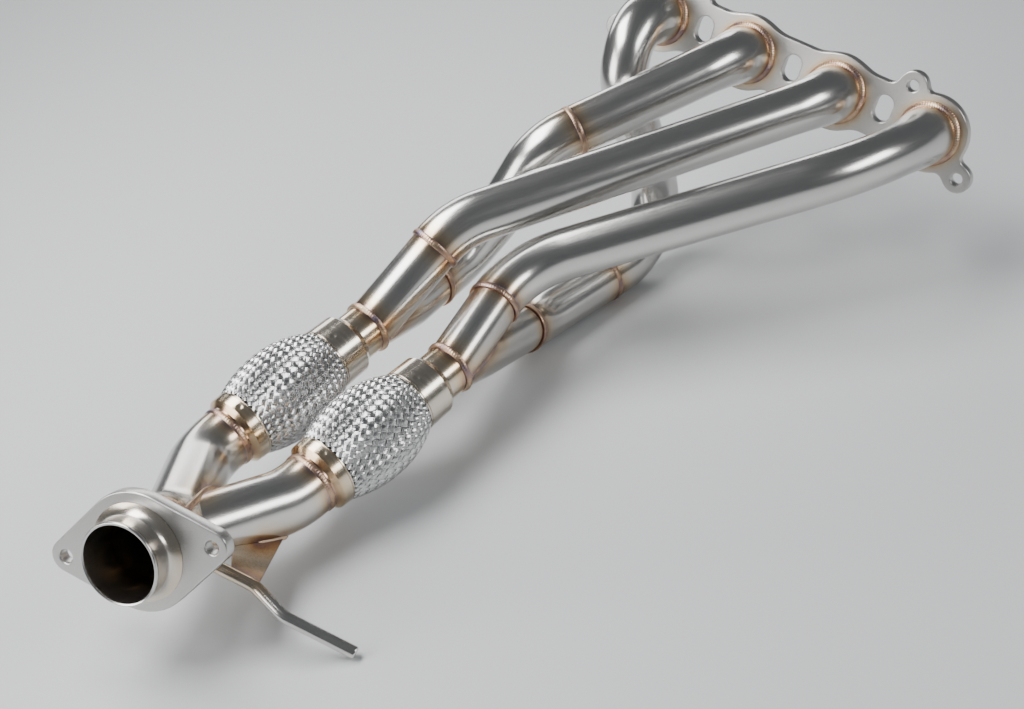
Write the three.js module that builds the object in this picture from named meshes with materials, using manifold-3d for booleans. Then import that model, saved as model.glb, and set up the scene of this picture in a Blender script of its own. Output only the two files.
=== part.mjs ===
// Tubular exhaust manifold: four primaries joined in pairs, two braided flex couplings and one outlet.
// Millimetres, +Z up. +X runs from the outlet to the head flange. The origin is on the resting surface.
import * as THREE from "three";
import { mergeVertices } from "three/addons/utils/BufferGeometryUtils.js";
import Module from "manifold-3d";

const wasm = await Module();
wasm.setup();

// ---- driving dimensions ----
const GAP = 0.3;
const WALL = 1.5;
const SIDES = 18;
const DEGREES_PER_STEP = 18;
const BUTT_GAP = 3.2;

const PORT_PITCH = 94;
const HEAD_PLATE = 10;
const PRIMARY_OD = 45;
const PORT_END_OD = 51.6;
const PORT_BORE = 48;
const FLARE_START = 6;
const FLARE_LENGTH = 70;
const LEG_OD = 42.7;
const SECONDARY_OD = 50.8;
const SPIGOT_OD = 61;
const OUTLET_PLATE = 10;
const SPIGOT_STANDING = 23;
const MERGE_DEPTH = 68;
const MERGE_DROP = 7;
const SWELL_LENGTH = 52;
const OUTLET_RADIUS = SPIGOT_OD / 2 + 1.5;
const OVAL_RADIUS = 45.5;
const EAR_SPACING = 126;
const EAR_RADIUS = 12.5;
const BOLT_HOLE_RADIUS = 5.5;

const ROD_DIAMETER = 9.6;
const ROD_START = 2;
const ROD_SIDES = 12;
const GUSSET_THICKNESS = 3;

// Bodies of the two flex couplings, measured from the upstream weld along the coupling.
const FLEX_LENGTH = 159;
const FLEX_HALF_SPACING = 44;
const STUB_END = 20;
const BRAID_START = 52;
const BRAID_END = 140;
const BRAID_START_RADIUS = 28;
const BRAID_MIDDLE_RADIUS = 39.5;
const BRAID_END_RADIUS = 30.5;

// The shift of the object from the frame of the points below, whose origin is between the flex couplings.
const FRAME_SHIFT = new THREE.Vector3(-67.65, 72.93, 0);

// Radius of a faceted ring's corners that clears a round tube inside it.
const clearOf = (radius) => (radius + GAP / 2) / Math.cos(Math.PI / SIDES);

const at = (x, y, z) => new THREE.Vector3(x, y, z);
const beyond = (point, direction, distance) => point.clone().addScaledVector(direction, distance);

// ---- main directions and points ----
const portLine = at(0.145, -0.935, -0.325).normalize();
const headNormal = at(-0.948, -0.227, 0.221);
headNormal.addScaledVector(portLine, -headNormal.dot(portLine)).normalize();
const firstPort = at(417, 50, 213);
const ports = [0, 1, 2, 3].map((index) => beyond(firstPort, portLine, index * PORT_PITCH));

const flexDirection = at(-0.993, 0, -0.121).normalize();
const flexInlets = {
  right: at(4, -FLEX_HALF_SPACING, 70.5),
  left: at(-4, FLEX_HALF_SPACING, 87.5),
};
const flexOutlets = {
  right: beyond(flexInlets.right, flexDirection, FLEX_LENGTH),
  left: beyond(flexInlets.left, flexDirection, FLEX_LENGTH),
};

const outletInward = at(0.886, 0.377, -0.271).normalize();
const spigotMouth = at(-329, -56.5, 95);
const outletCentre = beyond(spigotMouth, outletInward, SPIGOT_STANDING);
const outletBack = beyond(outletCentre, outletInward, OUTLET_PLATE);
const mergeCentre = beyond(spigotMouth, outletInward, MERGE_DEPTH);
const mergeSide = mergeCentre.clone().add(at(0, 0, -MERGE_DROP));
const outletRun = beyond(outletBack, outletInward, 12);
const outletStart = beyond(outletBack, outletInward, GAP);

// ---- bent routes ----
// A route is a list of corner points with a bend radius at each inner corner.
class Route {
  constructor(corners, radii) {
    this.pieces = [];
    let cursor = corners[0].clone();
    for (let i = 1; i < corners.length - 1; i += 1) {
      const into = corners[i].clone().sub(corners[i - 1]).normalize();
      const out = corners[i + 1].clone().sub(corners[i]).normalize();
      const turn = Math.acos(THREE.MathUtils.clamp(into.dot(out), -1, 1));
      const setback = radii[i - 1] * Math.tan(turn / 2);
      const start = beyond(corners[i], into, -setback);
      const axis = new THREE.Vector3().crossVectors(into, out).normalize();
      const toCentre = new THREE.Vector3().crossVectors(axis, into);
      this.addStraight(cursor, start);
      this.pieces.push({
        kind: "arc",
        length: radii[i - 1] * turn,
        radius: radii[i - 1],
        turn,
        into,
        toCentre,
        centre: beyond(start, toCentre, radii[i - 1]),
      });
      cursor = beyond(corners[i], out, setback);
    }
    this.addStraight(cursor, corners[corners.length - 1]);
    this.length = this.pieces.reduce((sum, piece) => sum + piece.length, 0);
  }

  addStraight(start, end) {
    const into = end.clone().sub(start);
    const length = into.length();
    this.pieces.push({ kind: "straight", length, start, into: into.normalize() });
  }

  // Distance along the route to the end of the given bend, counted from 1.
  endOfBend(number) {
    let distance = 0;
    let bends = 0;
    for (const piece of this.pieces) {
      distance += piece.length;
      if (piece.kind === "arc") bends += 1;
      if (bends === number) return distance;
    }
    return distance;
  }

  startOfBend(number) {
    const arcs = this.pieces.filter((piece) => piece.kind === "arc");
    return this.endOfBend(number) - arcs[number - 1].length;
  }

  station(distance) {
    let rest = THREE.MathUtils.clamp(distance, 0, this.length);
    let piece = this.pieces[0];
    for (piece of this.pieces) {
      if (rest <= piece.length + 1e-9) break;
      rest -= piece.length;
    }
    if (piece.kind === "straight") {
      return { point: beyond(piece.start, piece.into, rest), tangent: piece.into.clone() };
    }
    const angle = rest / piece.radius;
    const point = piece.centre.clone()
      .addScaledVector(piece.toCentre, -piece.radius * Math.cos(angle))
      .addScaledVector(piece.into, piece.radius * Math.sin(angle));
    const tangent = piece.into.clone().multiplyScalar(Math.cos(angle))
      .addScaledVector(piece.toCentre, Math.sin(angle));
    return { point, tangent };
  }

  // Stations from one distance to another: ends of straights, steps along bends, and extra distances.
  stations(from, to, extra = []) {
    const distances = [from, to, ...extra];
    let start = 0;
    for (const piece of this.pieces) {
      if (piece.kind === "arc") {
        const steps = Math.max(1, Math.round(THREE.MathUtils.radToDeg(piece.turn) / DEGREES_PER_STEP));
        for (let step = 0; step <= steps; step += 1) {
          distances.push(start + piece.length * step / steps);
        }
      }
      start += piece.length;
    }
    const inside = distances.filter((distance) => distance >= from && distance <= to);
    inside.sort((a, b) => a - b);
    const kept = inside.filter((distance, index) => index === 0 || distance - inside[index - 1] > 0.5);
    kept[kept.length - 1] = to;
    return kept.map((distance) => ({ distance, ...this.station(distance) }));
  }
}

// A curve that hands ExtrudeGeometry one section per station.
class StationCurve extends THREE.Curve {
  constructor(stations) {
    super();
    this.list = stations;
  }

  pick(u) {
    return this.list[Math.round(u * (this.list.length - 1))];
  }

  getPointAt(u) {
    return this.pick(u).point.clone();
  }

  getTangentAt(u) {
    return this.pick(u).tangent.clone();
  }
}

const circlePoints = (radius, sides) => Array.from({ length: sides }, (_, i) => new THREE.Vector2(
  radius * Math.cos(2 * Math.PI * i / sides),
  radius * Math.sin(2 * Math.PI * i / sides),
));

function sweep(stations, outerRadius, innerRadius, sides = SIDES) {
  const shape = new THREE.Shape(circlePoints(outerRadius, sides));
  if (innerRadius > 0) shape.holes.push(new THREE.Path(circlePoints(innerRadius, sides).reverse()));
  return new THREE.ExtrudeGeometry(shape, {
    steps: stations.length - 1,
    extrudePath: new StationCurve(stations),
  });
}

// Widens the sections of a swept tube: growth(distance) is added to the radius at each station.
function widen(geometry, stations, outerRadius, innerRadius, growth) {
  const positions = geometry.getAttribute("position");
  const vertex = new THREE.Vector3();
  const offset = new THREE.Vector3();
  for (let i = 0; i < positions.count; i += 1) {
    vertex.fromBufferAttribute(positions, i);
    let best = null;
    for (const station of stations) {
      offset.copy(vertex).sub(station.point);
      const radius = offset.length();
      const miss = Math.abs(offset.dot(station.tangent))
        + Math.min(Math.abs(radius - outerRadius), Math.abs(radius - innerRadius));
      if (best === null || miss < best.miss) best = { miss, station, radius };
    }
    offset.copy(vertex).sub(best.station.point);
    offset.multiplyScalar((best.radius + growth(best.station.distance)) / best.radius);
    vertex.copy(best.station.point).add(offset);
    positions.setXYZ(i, vertex.x, vertex.y, vertex.z);
  }
  geometry.computeVertexNormals();
  return geometry;
}

// ---- joining and cutting ----
function toSolid(geometry) {
  const bare = geometry.clone();
  bare.deleteAttribute("normal");
  bare.deleteAttribute("uv");
  const merged = mergeVertices(bare, 1e-4);
  return new wasm.Manifold(new wasm.Mesh({
    numProp: 3,
    vertProperties: Float32Array.from(merged.getAttribute("position").array),
    triVerts: Uint32Array.from(merged.index.array),
  }));
}

function toGeometry(solid) {
  const mesh = solid.getMesh();
  const geometry = new THREE.BufferGeometry();
  geometry.setAttribute("position", new THREE.BufferAttribute(Float32Array.from(mesh.vertProperties), 3));
  geometry.setIndex(new THREE.BufferAttribute(Uint32Array.from(mesh.triVerts), 1));
  geometry.computeVertexNormals();
  return geometry;
}

// The largest body of a cut solid, without the slivers that a cut leaves apart from it.
function largestBody(solid) {
  return solid.decompose().reduce((best, body) => (body.volume() > best.volume() ? body : best));
}

const turnedTo = (direction) => new THREE.Quaternion().setFromUnitVectors(at(0, 1, 0), direction);

// A turned piece: profile points are (radius, distance along the direction).
function turned(profile, origin, direction, sides = SIDES) {
  const points = profile.map(([radius, along]) => new THREE.Vector2(radius, along));
  if (THREE.ShapeUtils.area(points) < 0) points.reverse();
  const closed = [...points, points[0]];
  const geometry = new THREE.LatheGeometry(closed, sides);
  geometry.applyQuaternion(turnedTo(direction));
  geometry.translate(origin.x, origin.y, origin.z);
  return geometry;
}

// A half space, as a large box whose near face passes through the point, facing against the direction.
function halfSpace(point, direction) {
  const size = 400;
  const geometry = new THREE.BoxGeometry(size, size, size);
  geometry.translate(0, size / 2, 0);
  geometry.applyQuaternion(turnedTo(direction));
  geometry.translate(point.x, point.y, point.z);
  return toSolid(geometry);
}

// ---- materials ----
const finishes = {
  steel: { color: 0xc9c6c1, roughness: 0.22, metalness: 1 },
  plate: { color: 0xb9b4ae, roughness: 0.34, metalness: 1 },
  ferrule: { color: 0xc7b089, roughness: 0.2, metalness: 1 },
  braid: { color: 0xbfbfbf, roughness: 0.35, metalness: 1 },
  bellows: { color: 0xaaa59c, roughness: 0.3, metalness: 1 },
  liner: { color: 0x8f8b85, roughness: 0.4, metalness: 1 },
  weld: { color: 0x9a7468, roughness: 0.4, metalness: 1 },
};

const root = new THREE.Group();

function addPiece(name, geometry, finish) {
  const mesh = new THREE.Mesh(geometry, new THREE.MeshStandardMaterial(finishes[finish]));
  mesh.name = name;
  root.add(mesh);
}

// ---- routes of the tubes ----
const routes = {
  4: new Route(
    [ports[3], beyond(ports[3], headNormal, 112), at(118.5, -21, 102), flexInlets.right],
    [130, 85],
  ),
  3: new Route(
    [ports[2], beyond(ports[2], headNormal, 50), at(91.5, 20, 146.5), flexInlets.left],
    [60, 90],
  ),
  2: new Route(
    [
      ports[1], beyond(ports[1], headNormal, 50), at(217.5, 32.5, 163.5), at(181.5, 61, 107.5),
      at(140, 77, 76), at(54.5, 59, 76), flexInlets.left,
    ],
    [60, 70, 60, 60, 60],
  ),
  1: new Route(
    [
      ports[0], beyond(ports[0], headNormal, 56), at(337, 35.5, 181), at(339.5, 5.5, 49.5),
      at(279.5, 3.5, PRIMARY_OD / 2), at(152.5, 7, PRIMARY_OD / 2), at(55.5, -25.5, 51.5), flexInlets.right,
    ],
    [42, 55, 60, 60, 75, 75],
  ),
};

const bendOut = (from, to) => to.clone().sub(from).normalize();
const secondaryCorners = {
  right: beyond(flexOutlets.right, flexDirection, 22),
  left: beyond(flexOutlets.left, flexDirection, 26),
};
const secondaryRoutes = {
  right: new Route(
    [flexOutlets.right, secondaryCorners.right, mergeSide, outletRun, outletStart],
    [80, 50, 30],
  ),
  left: new Route([flexOutlets.left, secondaryCorners.left, mergeCentre, outletStart], [60, 60]),
};

// Butt welds between tube pieces, as distances along each route.
const welds = {
  4: [routes[4].endOfBend(2) + 2],
  3: [routes[3].endOfBend(2) + 2],
  2: [routes[2].startOfBend(2) - 6, routes[2].endOfBend(4) + 22],
  1: [routes[1].endOfBend(4) + 22, routes[1].endOfBend(5) + 8],
};

// ---- primaries ----
const flare = (distance) => {
  const t = THREE.MathUtils.clamp((distance - FLARE_START) / FLARE_LENGTH, 0, 1);
  return (PORT_END_OD - PRIMARY_OD) / 2 * (1 - t * t * (3 - 2 * t));
};

function primaryPiece(route, from, to, od) {
  const outer = od / 2;
  const extra = from < 1 ? [FLARE_START, FLARE_START + FLARE_LENGTH / 2, FLARE_START + FLARE_LENGTH] : [];
  const stations = route.stations(from, to, extra);
  const geometry = sweep(stations, outer, outer - WALL);
  return from < 1 ? widen(geometry, stations, outer, outer - WALL, flare) : geometry;
}

const primaryPieces = [
  ["primary_1_upper", 1, GAP, welds[1][0] - BUTT_GAP / 2],
  ["primary_1_lower", 1, welds[1][0] + BUTT_GAP / 2, welds[1][1] - BUTT_GAP / 2],
  ["primary_2_upper", 2, GAP, welds[2][0] - BUTT_GAP / 2],
  ["primary_2_lower", 2, welds[2][0] + BUTT_GAP / 2, welds[2][1] - BUTT_GAP / 2],
  ["primary_3", 3, GAP, welds[3][0] - BUTT_GAP / 2],
  ["primary_4", 4, GAP, welds[4][0] - BUTT_GAP / 2],
];
for (const [name, route, from, to] of primaryPieces) {
  addPiece(name, primaryPiece(routes[route], from, to, PRIMARY_OD), "steel");
}

// ---- collectors: a main leg and a branch leg, mitred together and cut square to the flex coupling ----
function collector(side, main, branch) {
  const ends = flexInlets[side];
  const endCut = halfSpace(beyond(ends, flexDirection, -GAP / 2), flexDirection);
  const legRoute = (key) => {
    const route = routes[key];
    const start = welds[key][welds[key].length - 1] + BUTT_GAP / 2;
    const stations = route.stations(start, route.length);
    const last = stations[stations.length - 1];
    stations.push({ point: beyond(last.point, last.tangent, 30), tangent: last.tangent });
    return stations;
  };
  const mainStations = legRoute(main);
  const branchStations = legRoute(branch);
  const outer = LEG_OD / 2;
  const solid = (stations, radius) => toSolid(sweep(stations, radius, 0));
  const extended = (stations) => {
    const first = stations[0];
    return [{ point: beyond(first.point, first.tangent, -4), tangent: first.tangent }, ...stations];
  };
  const mainBore = solid(extended(mainStations), outer - WALL);
  const branchBore = solid(extended(branchStations), outer - WALL);
  const mainLeg = solid(mainStations, outer).subtract(mainBore).subtract(branchBore).subtract(endCut);
  const branchLeg = solid(branchStations, outer).subtract(branchBore)
    .subtract(solid(extended(mainStations), outer + GAP)).subtract(endCut);
  addPiece(`collector_${side}_main_leg`, toGeometry(largestBody(mainLeg)), "steel");
  addPiece(`collector_${side}_branch_leg`, toGeometry(largestBody(branchLeg)), "steel");
}
collector("right", 4, 1);
collector("left", 3, 2);

// ---- flex couplings ----
function flexCoupling(side) {
  const inlet = flexInlets[side];
  const stub = LEG_OD / 2;
  const outlet = SECONDARY_OD / 2;
  const cuff = 25;
  const sleeve = cuff + 0.8;
  const outletSleeve = BRAID_END_RADIUS - 1.4;
  const coreStart = STUB_END + 17;
  const coreEnd = FLEX_LENGTH - 13;
  const piece = (profile, sides) => turned(profile, inlet, flexDirection, sides);

  addPiece(`flex_${side}_inlet_ferrule`, piece([
    [stub - WALL, GAP / 2], [stub, GAP / 2], [stub, STUB_END], [BRAID_START_RADIUS - 0.6, STUB_END + 7],
    [BRAID_START_RADIUS, BRAID_START - GAP], [sleeve, BRAID_START - GAP],
    [sleeve, STUB_END + 10], [stub - WALL, STUB_END + 3],
  ]), "ferrule");
  addPiece(`flex_${side}_outlet_ferrule`, piece([
    [outlet - WALL, FLEX_LENGTH - BUTT_GAP / 2], [outlet - WALL, FLEX_LENGTH - 7],
    [outletSleeve, FLEX_LENGTH - 10], [outletSleeve, BRAID_END + GAP],
    [BRAID_END_RADIUS, BRAID_END + GAP], [BRAID_END_RADIUS - 0.6, FLEX_LENGTH - 8],
    [outlet, FLEX_LENGTH - 4], [outlet, FLEX_LENGTH - BUTT_GAP / 2],
  ]), "ferrule");

  const middle = (BRAID_START + BRAID_END) / 2;
  const half = (BRAID_END - BRAID_START) / 2;
  const bulge = (along) => {
    const t = (along - middle) / half;
    const endRadius = t < 0 ? BRAID_START_RADIUS : BRAID_END_RADIUS;
    return endRadius + (BRAID_MIDDLE_RADIUS - endRadius) * (1 - Math.abs(t) ** 2.2);
  };
  const braidSteps = [-1, -0.75, -0.45, 0, 0.45, 0.75, 1].map((t) => middle + half * t);
  const outside = braidSteps.map((along) => [bulge(along), along]);
  const inside = braidSteps.map((along) => [bulge(along) - 1.2, along]).reverse();
  addPiece(`flex_${side}_braid`, piece([...outside, ...inside]), "braid");

  const folds = 6;
  const foldFrom = BRAID_START + 6;
  const foldTo = BRAID_END - 4;
  const pitch = (foldTo - foldFrom) / folds;
  const crests = [];
  for (let fold = 0; fold < folds; fold += 1) {
    crests.push([cuff - 0.4, foldFrom + pitch * fold], [cuff + 2, foldFrom + pitch * (fold + 0.5)]);
  }
  addPiece(`flex_${side}_bellows`, piece([
    [cuff - 0.8, coreStart], [cuff, coreStart], ...crests, [cuff - 0.4, foldTo],
    [cuff, coreEnd], [cuff - 0.8, coreEnd], [cuff - 1.2, foldTo], [cuff - 1.2, foldFrom],
  ], 16), "bellows");

  addPiece(`flex_${side}_liner`, piece([
    [22, coreStart], [23.2, coreStart], [23.2, coreEnd], [22, coreEnd],
  ], 16), "liner");
}
flexCoupling("right");
flexCoupling("left");

// ---- secondaries: the left one is mitred onto the right one, and both swell to the outlet ----
function secondaries() {
  const outer = SECONDARY_OD / 2;
  const bead = 2.6;
  const clearance = 0.5;
  const beadFromPlate = 6;
  const { right, left } = secondaryRoutes;
  const swell = (route) => (distance) => {
    const rise = (distance - route.length + SWELL_LENGTH) / (SWELL_LENGTH - 6);
    const t = THREE.MathUtils.clamp(rise, 0, 1);
    return (OUTLET_RADIUS - outer) * t * t * (3 - 2 * t);
  };
  // A secondary as a solid bar, larger all round by growth and longer at both ends by overrun.
  const run = (route, growth, overrun) => {
    const extra = [52, 41, 29, 17, 6].map((fromEnd) => route.length - fromEnd);
    const stations = route.stations(BUTT_GAP / 2, route.length, extra);
    const first = stations[0];
    const last = stations[stations.length - 1];
    if (overrun > 0) {
      stations.unshift({ ...first, point: beyond(first.point, first.tangent, -overrun) });
      stations.push({ ...last, point: beyond(last.point, last.tangent, overrun) });
    }
    const radius = outer + growth;
    return toSolid(widen(sweep(stations, radius, 0), stations, radius, 0, swell(route)));
  };
  const leftHollow = run(left, -WALL, 2);
  const rightHollow = run(right, -WALL, 2);
  const rightClear = run(right, clearance, 2);
  const leftClear = run(left, clearance, 2);
  const tube = (solid) => toGeometry(largestBody(solid.subtract(rightHollow).subtract(leftHollow)));
  addPiece("secondary_right", tube(run(right, 0, 0)), "steel");
  addPiece("secondary_left", tube(run(left, 0, 0).subtract(rightClear)), "steel");
  const outward = outletInward.clone().negate();
  const plateSide = halfSpace(beyond(outletBack, outletInward, beadFromPlate), outward);
  const crotch = run(right, bead, 0).intersect(run(left, bead, 0));
  const saddleBead = crotch.subtract(rightClear).subtract(leftClear).subtract(plateSide);
  addPiece("weld_merge_left", toGeometry(largestBody(saddleBead)), "weld");
}
secondaries();

// ---- outlet flange: an oval plate with two ears ----
const outletAcross = at(0.43, -0.89, 0.153);
outletAcross.addScaledVector(outletInward, -outletAcross.dot(outletInward)).normalize();

function placePlate(geometry, origin, xAxis, zAxis) {
  const yAxis = new THREE.Vector3().crossVectors(zAxis, xAxis);
  geometry.applyMatrix4(new THREE.Matrix4().makeBasis(xAxis, yAxis, zAxis).setPosition(origin));
  return geometry;
}

function tangentOval(bodyRadius, earRadius, earDistance) {
  const tilt = Math.acos((bodyRadius - earRadius) / earDistance);
  const shape = new THREE.Shape();
  shape.absarc(0, 0, bodyRadius, tilt, Math.PI - tilt, false);
  shape.absarc(-earDistance, 0, earRadius, Math.PI - tilt, Math.PI + tilt, false);
  shape.absarc(0, 0, bodyRadius, Math.PI + tilt, 2 * Math.PI - tilt, false);
  shape.absarc(earDistance, 0, earRadius, -tilt, tilt, false);
  return shape;
}

function roundHole(x, y, radius) {
  const hole = new THREE.Path();
  hole.absarc(x, y, radius, 0, 2 * Math.PI, true);
  return hole;
}

function outletFlange() {
  const shape = tangentOval(OVAL_RADIUS, EAR_RADIUS, EAR_SPACING / 2);
  shape.holes.push(
    roundHole(0, 0, clearOf(SPIGOT_OD / 2)),
    roundHole(EAR_SPACING / 2, 0, BOLT_HOLE_RADIUS),
    roundHole(-EAR_SPACING / 2, 0, BOLT_HOLE_RADIUS),
  );
  const plate = new THREE.ExtrudeGeometry(shape, {
    depth: OUTLET_PLATE, bevelEnabled: false, curveSegments: 10,
  });
  addPiece("outlet_flange", placePlate(plate, outletCentre, outletAcross, outletInward), "plate");
}
outletFlange();

function outletSpigot() {
  const outer = SPIGOT_OD / 2;
  const inner = outer - WALL;
  addPiece("outlet_spigot", turned([
    [inner, 1.2], [inner + 0.8, 0], [outer + 0.6, 0], [outer + 1, 1.6], [outer, 4],
    [outer, SPIGOT_STANDING - 8], [outer + 3, SPIGOT_STANDING - 3], [outer + 7, SPIGOT_STANDING - GAP],
    [outer, SPIGOT_STANDING - GAP], [outer, SPIGOT_STANDING + OUTLET_PLATE],
    [inner, SPIGOT_STANDING + OUTLET_PLATE],
  ], spigotMouth, outletInward, 24), "steel");
}
outletSpigot();

// ---- hanger rod and gusset ----
const rodPoints = [
  at(-271, -66.5, 65), at(-256, -101, 45.5), at(-256.5, -129, 31), at(-235.5, -175.5, 4.2),
];
const rodRoute = new Route(rodPoints, [22, 22]);

// The gusset is a flat plate from the first straight of the rod to the underside of the right secondary.
const gusset = {
  pipeNear: 88,
  pipeFar: 126,
  rodNear: 22,
  rodFar: 44,
  under: at(-0.2, -0.2, -0.95),
  sunk: 3,
};

function hanger() {
  const stations = rodRoute.stations(ROD_START, rodRoute.length);
  addPiece("hanger_rod", sweep(stations, ROD_DIAMETER / 2, 0, ROD_SIDES), "steel");

  const pipe = secondaryRoutes.right;
  const pipeNear = pipe.station(pipe.length - gusset.pipeNear).point;
  const far = pipe.station(pipe.length - gusset.pipeFar);
  const down = beyond(gusset.under, far.tangent, -gusset.under.dot(far.tangent)).normalize();
  const pipeFar = beyond(far.point, down, SECONDARY_OD / 2 - gusset.sunk);
  const rodNear = rodRoute.station(gusset.rodNear).point;
  const rodFar = rodRoute.station(gusset.rodFar).point;
  const xAxis = bendOut(rodNear, rodFar);
  const zAxis = new THREE.Vector3().crossVectors(xAxis, pipeFar.clone().sub(rodNear)).normalize();
  const yAxis = new THREE.Vector3().crossVectors(zAxis, xAxis);
  const flat = (point) => {
    const offset = point.clone().sub(rodNear);
    return new THREE.Vector2(offset.dot(xAxis), offset.dot(yAxis));
  };
  const outline = new THREE.Shape([rodNear, rodFar, pipeFar, pipeNear].map(flat));
  const plate = new THREE.ExtrudeGeometry(outline, { depth: GUSSET_THICKNESS, bevelEnabled: false });
  plate.translate(0, 0, -GUSSET_THICKNESS / 2);
  placePlate(plate, rodNear, xAxis, zAxis);
  const pipeSolid = toSolid(sweep(pipe.stations(0, pipe.length), SECONDARY_OD / 2 + GAP, 0));
  const rodSolid = toSolid(sweep(stations, ROD_DIAMETER / 2 + GAP, 0, ROD_SIDES));
  const web = toSolid(plate).subtract(pipeSolid).subtract(rodSolid);
  addPiece("hanger_gusset", toGeometry(largestBody(web)), "plate");
}
hanger();

// ---- head flange ----
// Outline points are (distance along the port line, height above it), clockwise from the low left ear.
function headFlange() {
  const ring = PORT_END_OD / 2 + 10;
  const ears = {
    first: [-39, -28],
    last: [321, -28],
    upperFirst: [29, 34],
    upperLast: [253, 34],
    middle: [141, -30],
  };
  const earRadius = 12;
  const plateSolid = (shape, curveSegments = 6) => toSolid(
    new THREE.ExtrudeGeometry(shape, { depth: HEAD_PLATE, bevelEnabled: false, curveSegments }),
  );
  const roundPad = (x, y, radius) => {
    const shape = new THREE.Shape();
    shape.absarc(x, y, radius, 0, 2 * Math.PI, false);
    return shape;
  };
  // A bar with parallel sides between two pads.
  const bar = (a, b, halfWidth) => {
    const along = new THREE.Vector2(b[0] - a[0], b[1] - a[1]).normalize();
    const side = new THREE.Vector2(-along.y, along.x).multiplyScalar(halfWidth);
    return new THREE.Shape([
      new THREE.Vector2(a[0] - side.x, a[1] - side.y), new THREE.Vector2(b[0] - side.x, b[1] - side.y),
      new THREE.Vector2(b[0] + side.x, b[1] + side.y), new THREE.Vector2(a[0] + side.x, a[1] + side.y),
    ]);
  };
  const portX = [0, 1, 2, 3].map((index) => index * PORT_PITCH);
  let body = plateSolid(bar([0, 2], [3 * PORT_PITCH, 2], 27));
  for (const x of portX) body = body.add(plateSolid(roundPad(x, 0, ring), 12));
  for (const [x, y] of Object.values(ears)) body = body.add(plateSolid(roundPad(x, y, earRadius)));
  const webs = [
    [ears.first, [0, -4], 10], [ears.last, [282, -4], 10], [ears.upperFirst, [10, 14], 11],
    [ears.upperFirst, [46, 14], 11], [ears.upperLast, [272, 14], 11], [ears.upperLast, [236, 14], 11],
    [ears.middle, [141, -8], 12],
  ];
  for (const [a, b, halfWidth] of webs) body = body.add(plateSolid(bar(a, b, halfWidth)));

  const cut = (shape, curveSegments = 6) => {
    const overrun = 4;
    const depth = HEAD_PLATE + 2 * overrun;
    const tool = new THREE.ExtrudeGeometry(shape, { depth, bevelEnabled: false, curveSegments });
    tool.translate(0, 0, -overrun);
    return toSolid(tool);
  };
  for (const x of portX) body = body.subtract(cut(roundPad(x, 0, PORT_BORE / 2), 10));
  for (const [x, y] of Object.values(ears)) {
    body = body.subtract(cut(roundPad(x, y, BOLT_HOLE_RADIUS)));
  }
  const slot = (x, y, halfWidth, halfHeight) => {
    const shape = new THREE.Shape();
    const rise = halfHeight - halfWidth;
    shape.absarc(x, y + rise, halfWidth, 0, Math.PI, false);
    shape.absarc(x, y - rise, halfWidth, Math.PI, 2 * Math.PI, false);
    return shape;
  };
  for (const index of [0, 1, 2]) {
    body = body.subtract(cut(slot((index + 0.5) * PORT_PITCH, 4, 8.5, 13)));
  }
  const back = beyond(firstPort, headNormal, -HEAD_PLATE);
  addPiece("head_flange", placePlate(toGeometry(body), back, portLine, headNormal), "plate");
}
headFlange();

// ---- weld beads ----
// A butt weld fills the space between two tube ends and stands proud of them by its crown.
function buttBead(name, station, radius, crown = 0.8) {
  const half = BUTT_GAP / 2 - GAP;
  addPiece(name, turned(
    [[radius - WALL, -half], [radius, -half], [radius + crown, 0], [radius, half], [radius - WALL, half]],
    station.point, station.tangent,
  ), "weld");
}

// A fillet bead around a tube that stands on a plate.
function filletBead(name, point, direction, radius, leg = 4.5) {
  const face = clearOf(radius);
  addPiece(name, turned(
    [[face, GAP], [face, leg], [face + 1.2, leg - 0.6], [face + leg - 0.6, 1.2], [face + leg, GAP]],
    point, direction, SIDES,
  ), "weld");
}

// The weld on the run that the manifold rests on is flush.
const LOW_WELD = { route: "1", index: 0 };

ports.forEach((port, index) => filletBead(`weld_port_${index + 1}`, port, headNormal, PORT_END_OD / 2));
for (const [key, distances] of Object.entries(welds)) {
  distances.forEach((distance, index) => {
    const crown = key === LOW_WELD.route && index === LOW_WELD.index ? 0 : 0.8;
    buttBead(`weld_primary_${key}_${index + 1}`, routes[key].station(distance), PRIMARY_OD / 2, crown);
  });
}
for (const side of ["right", "left"]) {
  filletBead(`weld_flex_${side}_inlet`, flexInlets[side], flexDirection, LEG_OD / 2, 3.6);
  const outletEnd = { point: flexOutlets[side], tangent: flexDirection };
  buttBead(`weld_flex_${side}_outlet`, outletEnd, SECONDARY_OD / 2);
}
filletBead("weld_outlet_flange", outletBack, outletInward, SPIGOT_OD / 2 + 3.5);

root.position.copy(FRAME_SHIFT);

export default root;
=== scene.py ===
"""Looks of the exhaust manifold: fine tubes, woven braids, weld beads and heat-tinted steel.

Shapes are worked out in millimetres, in the working frame of the CAD source, and turned into
metres on the way out.
"""

import math

import bpy
import numpy as np
from mathutils import Matrix, Vector
from mathutils.geometry import delaunay_2d_cdt
from mathutils.kdtree import KDTree


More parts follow.
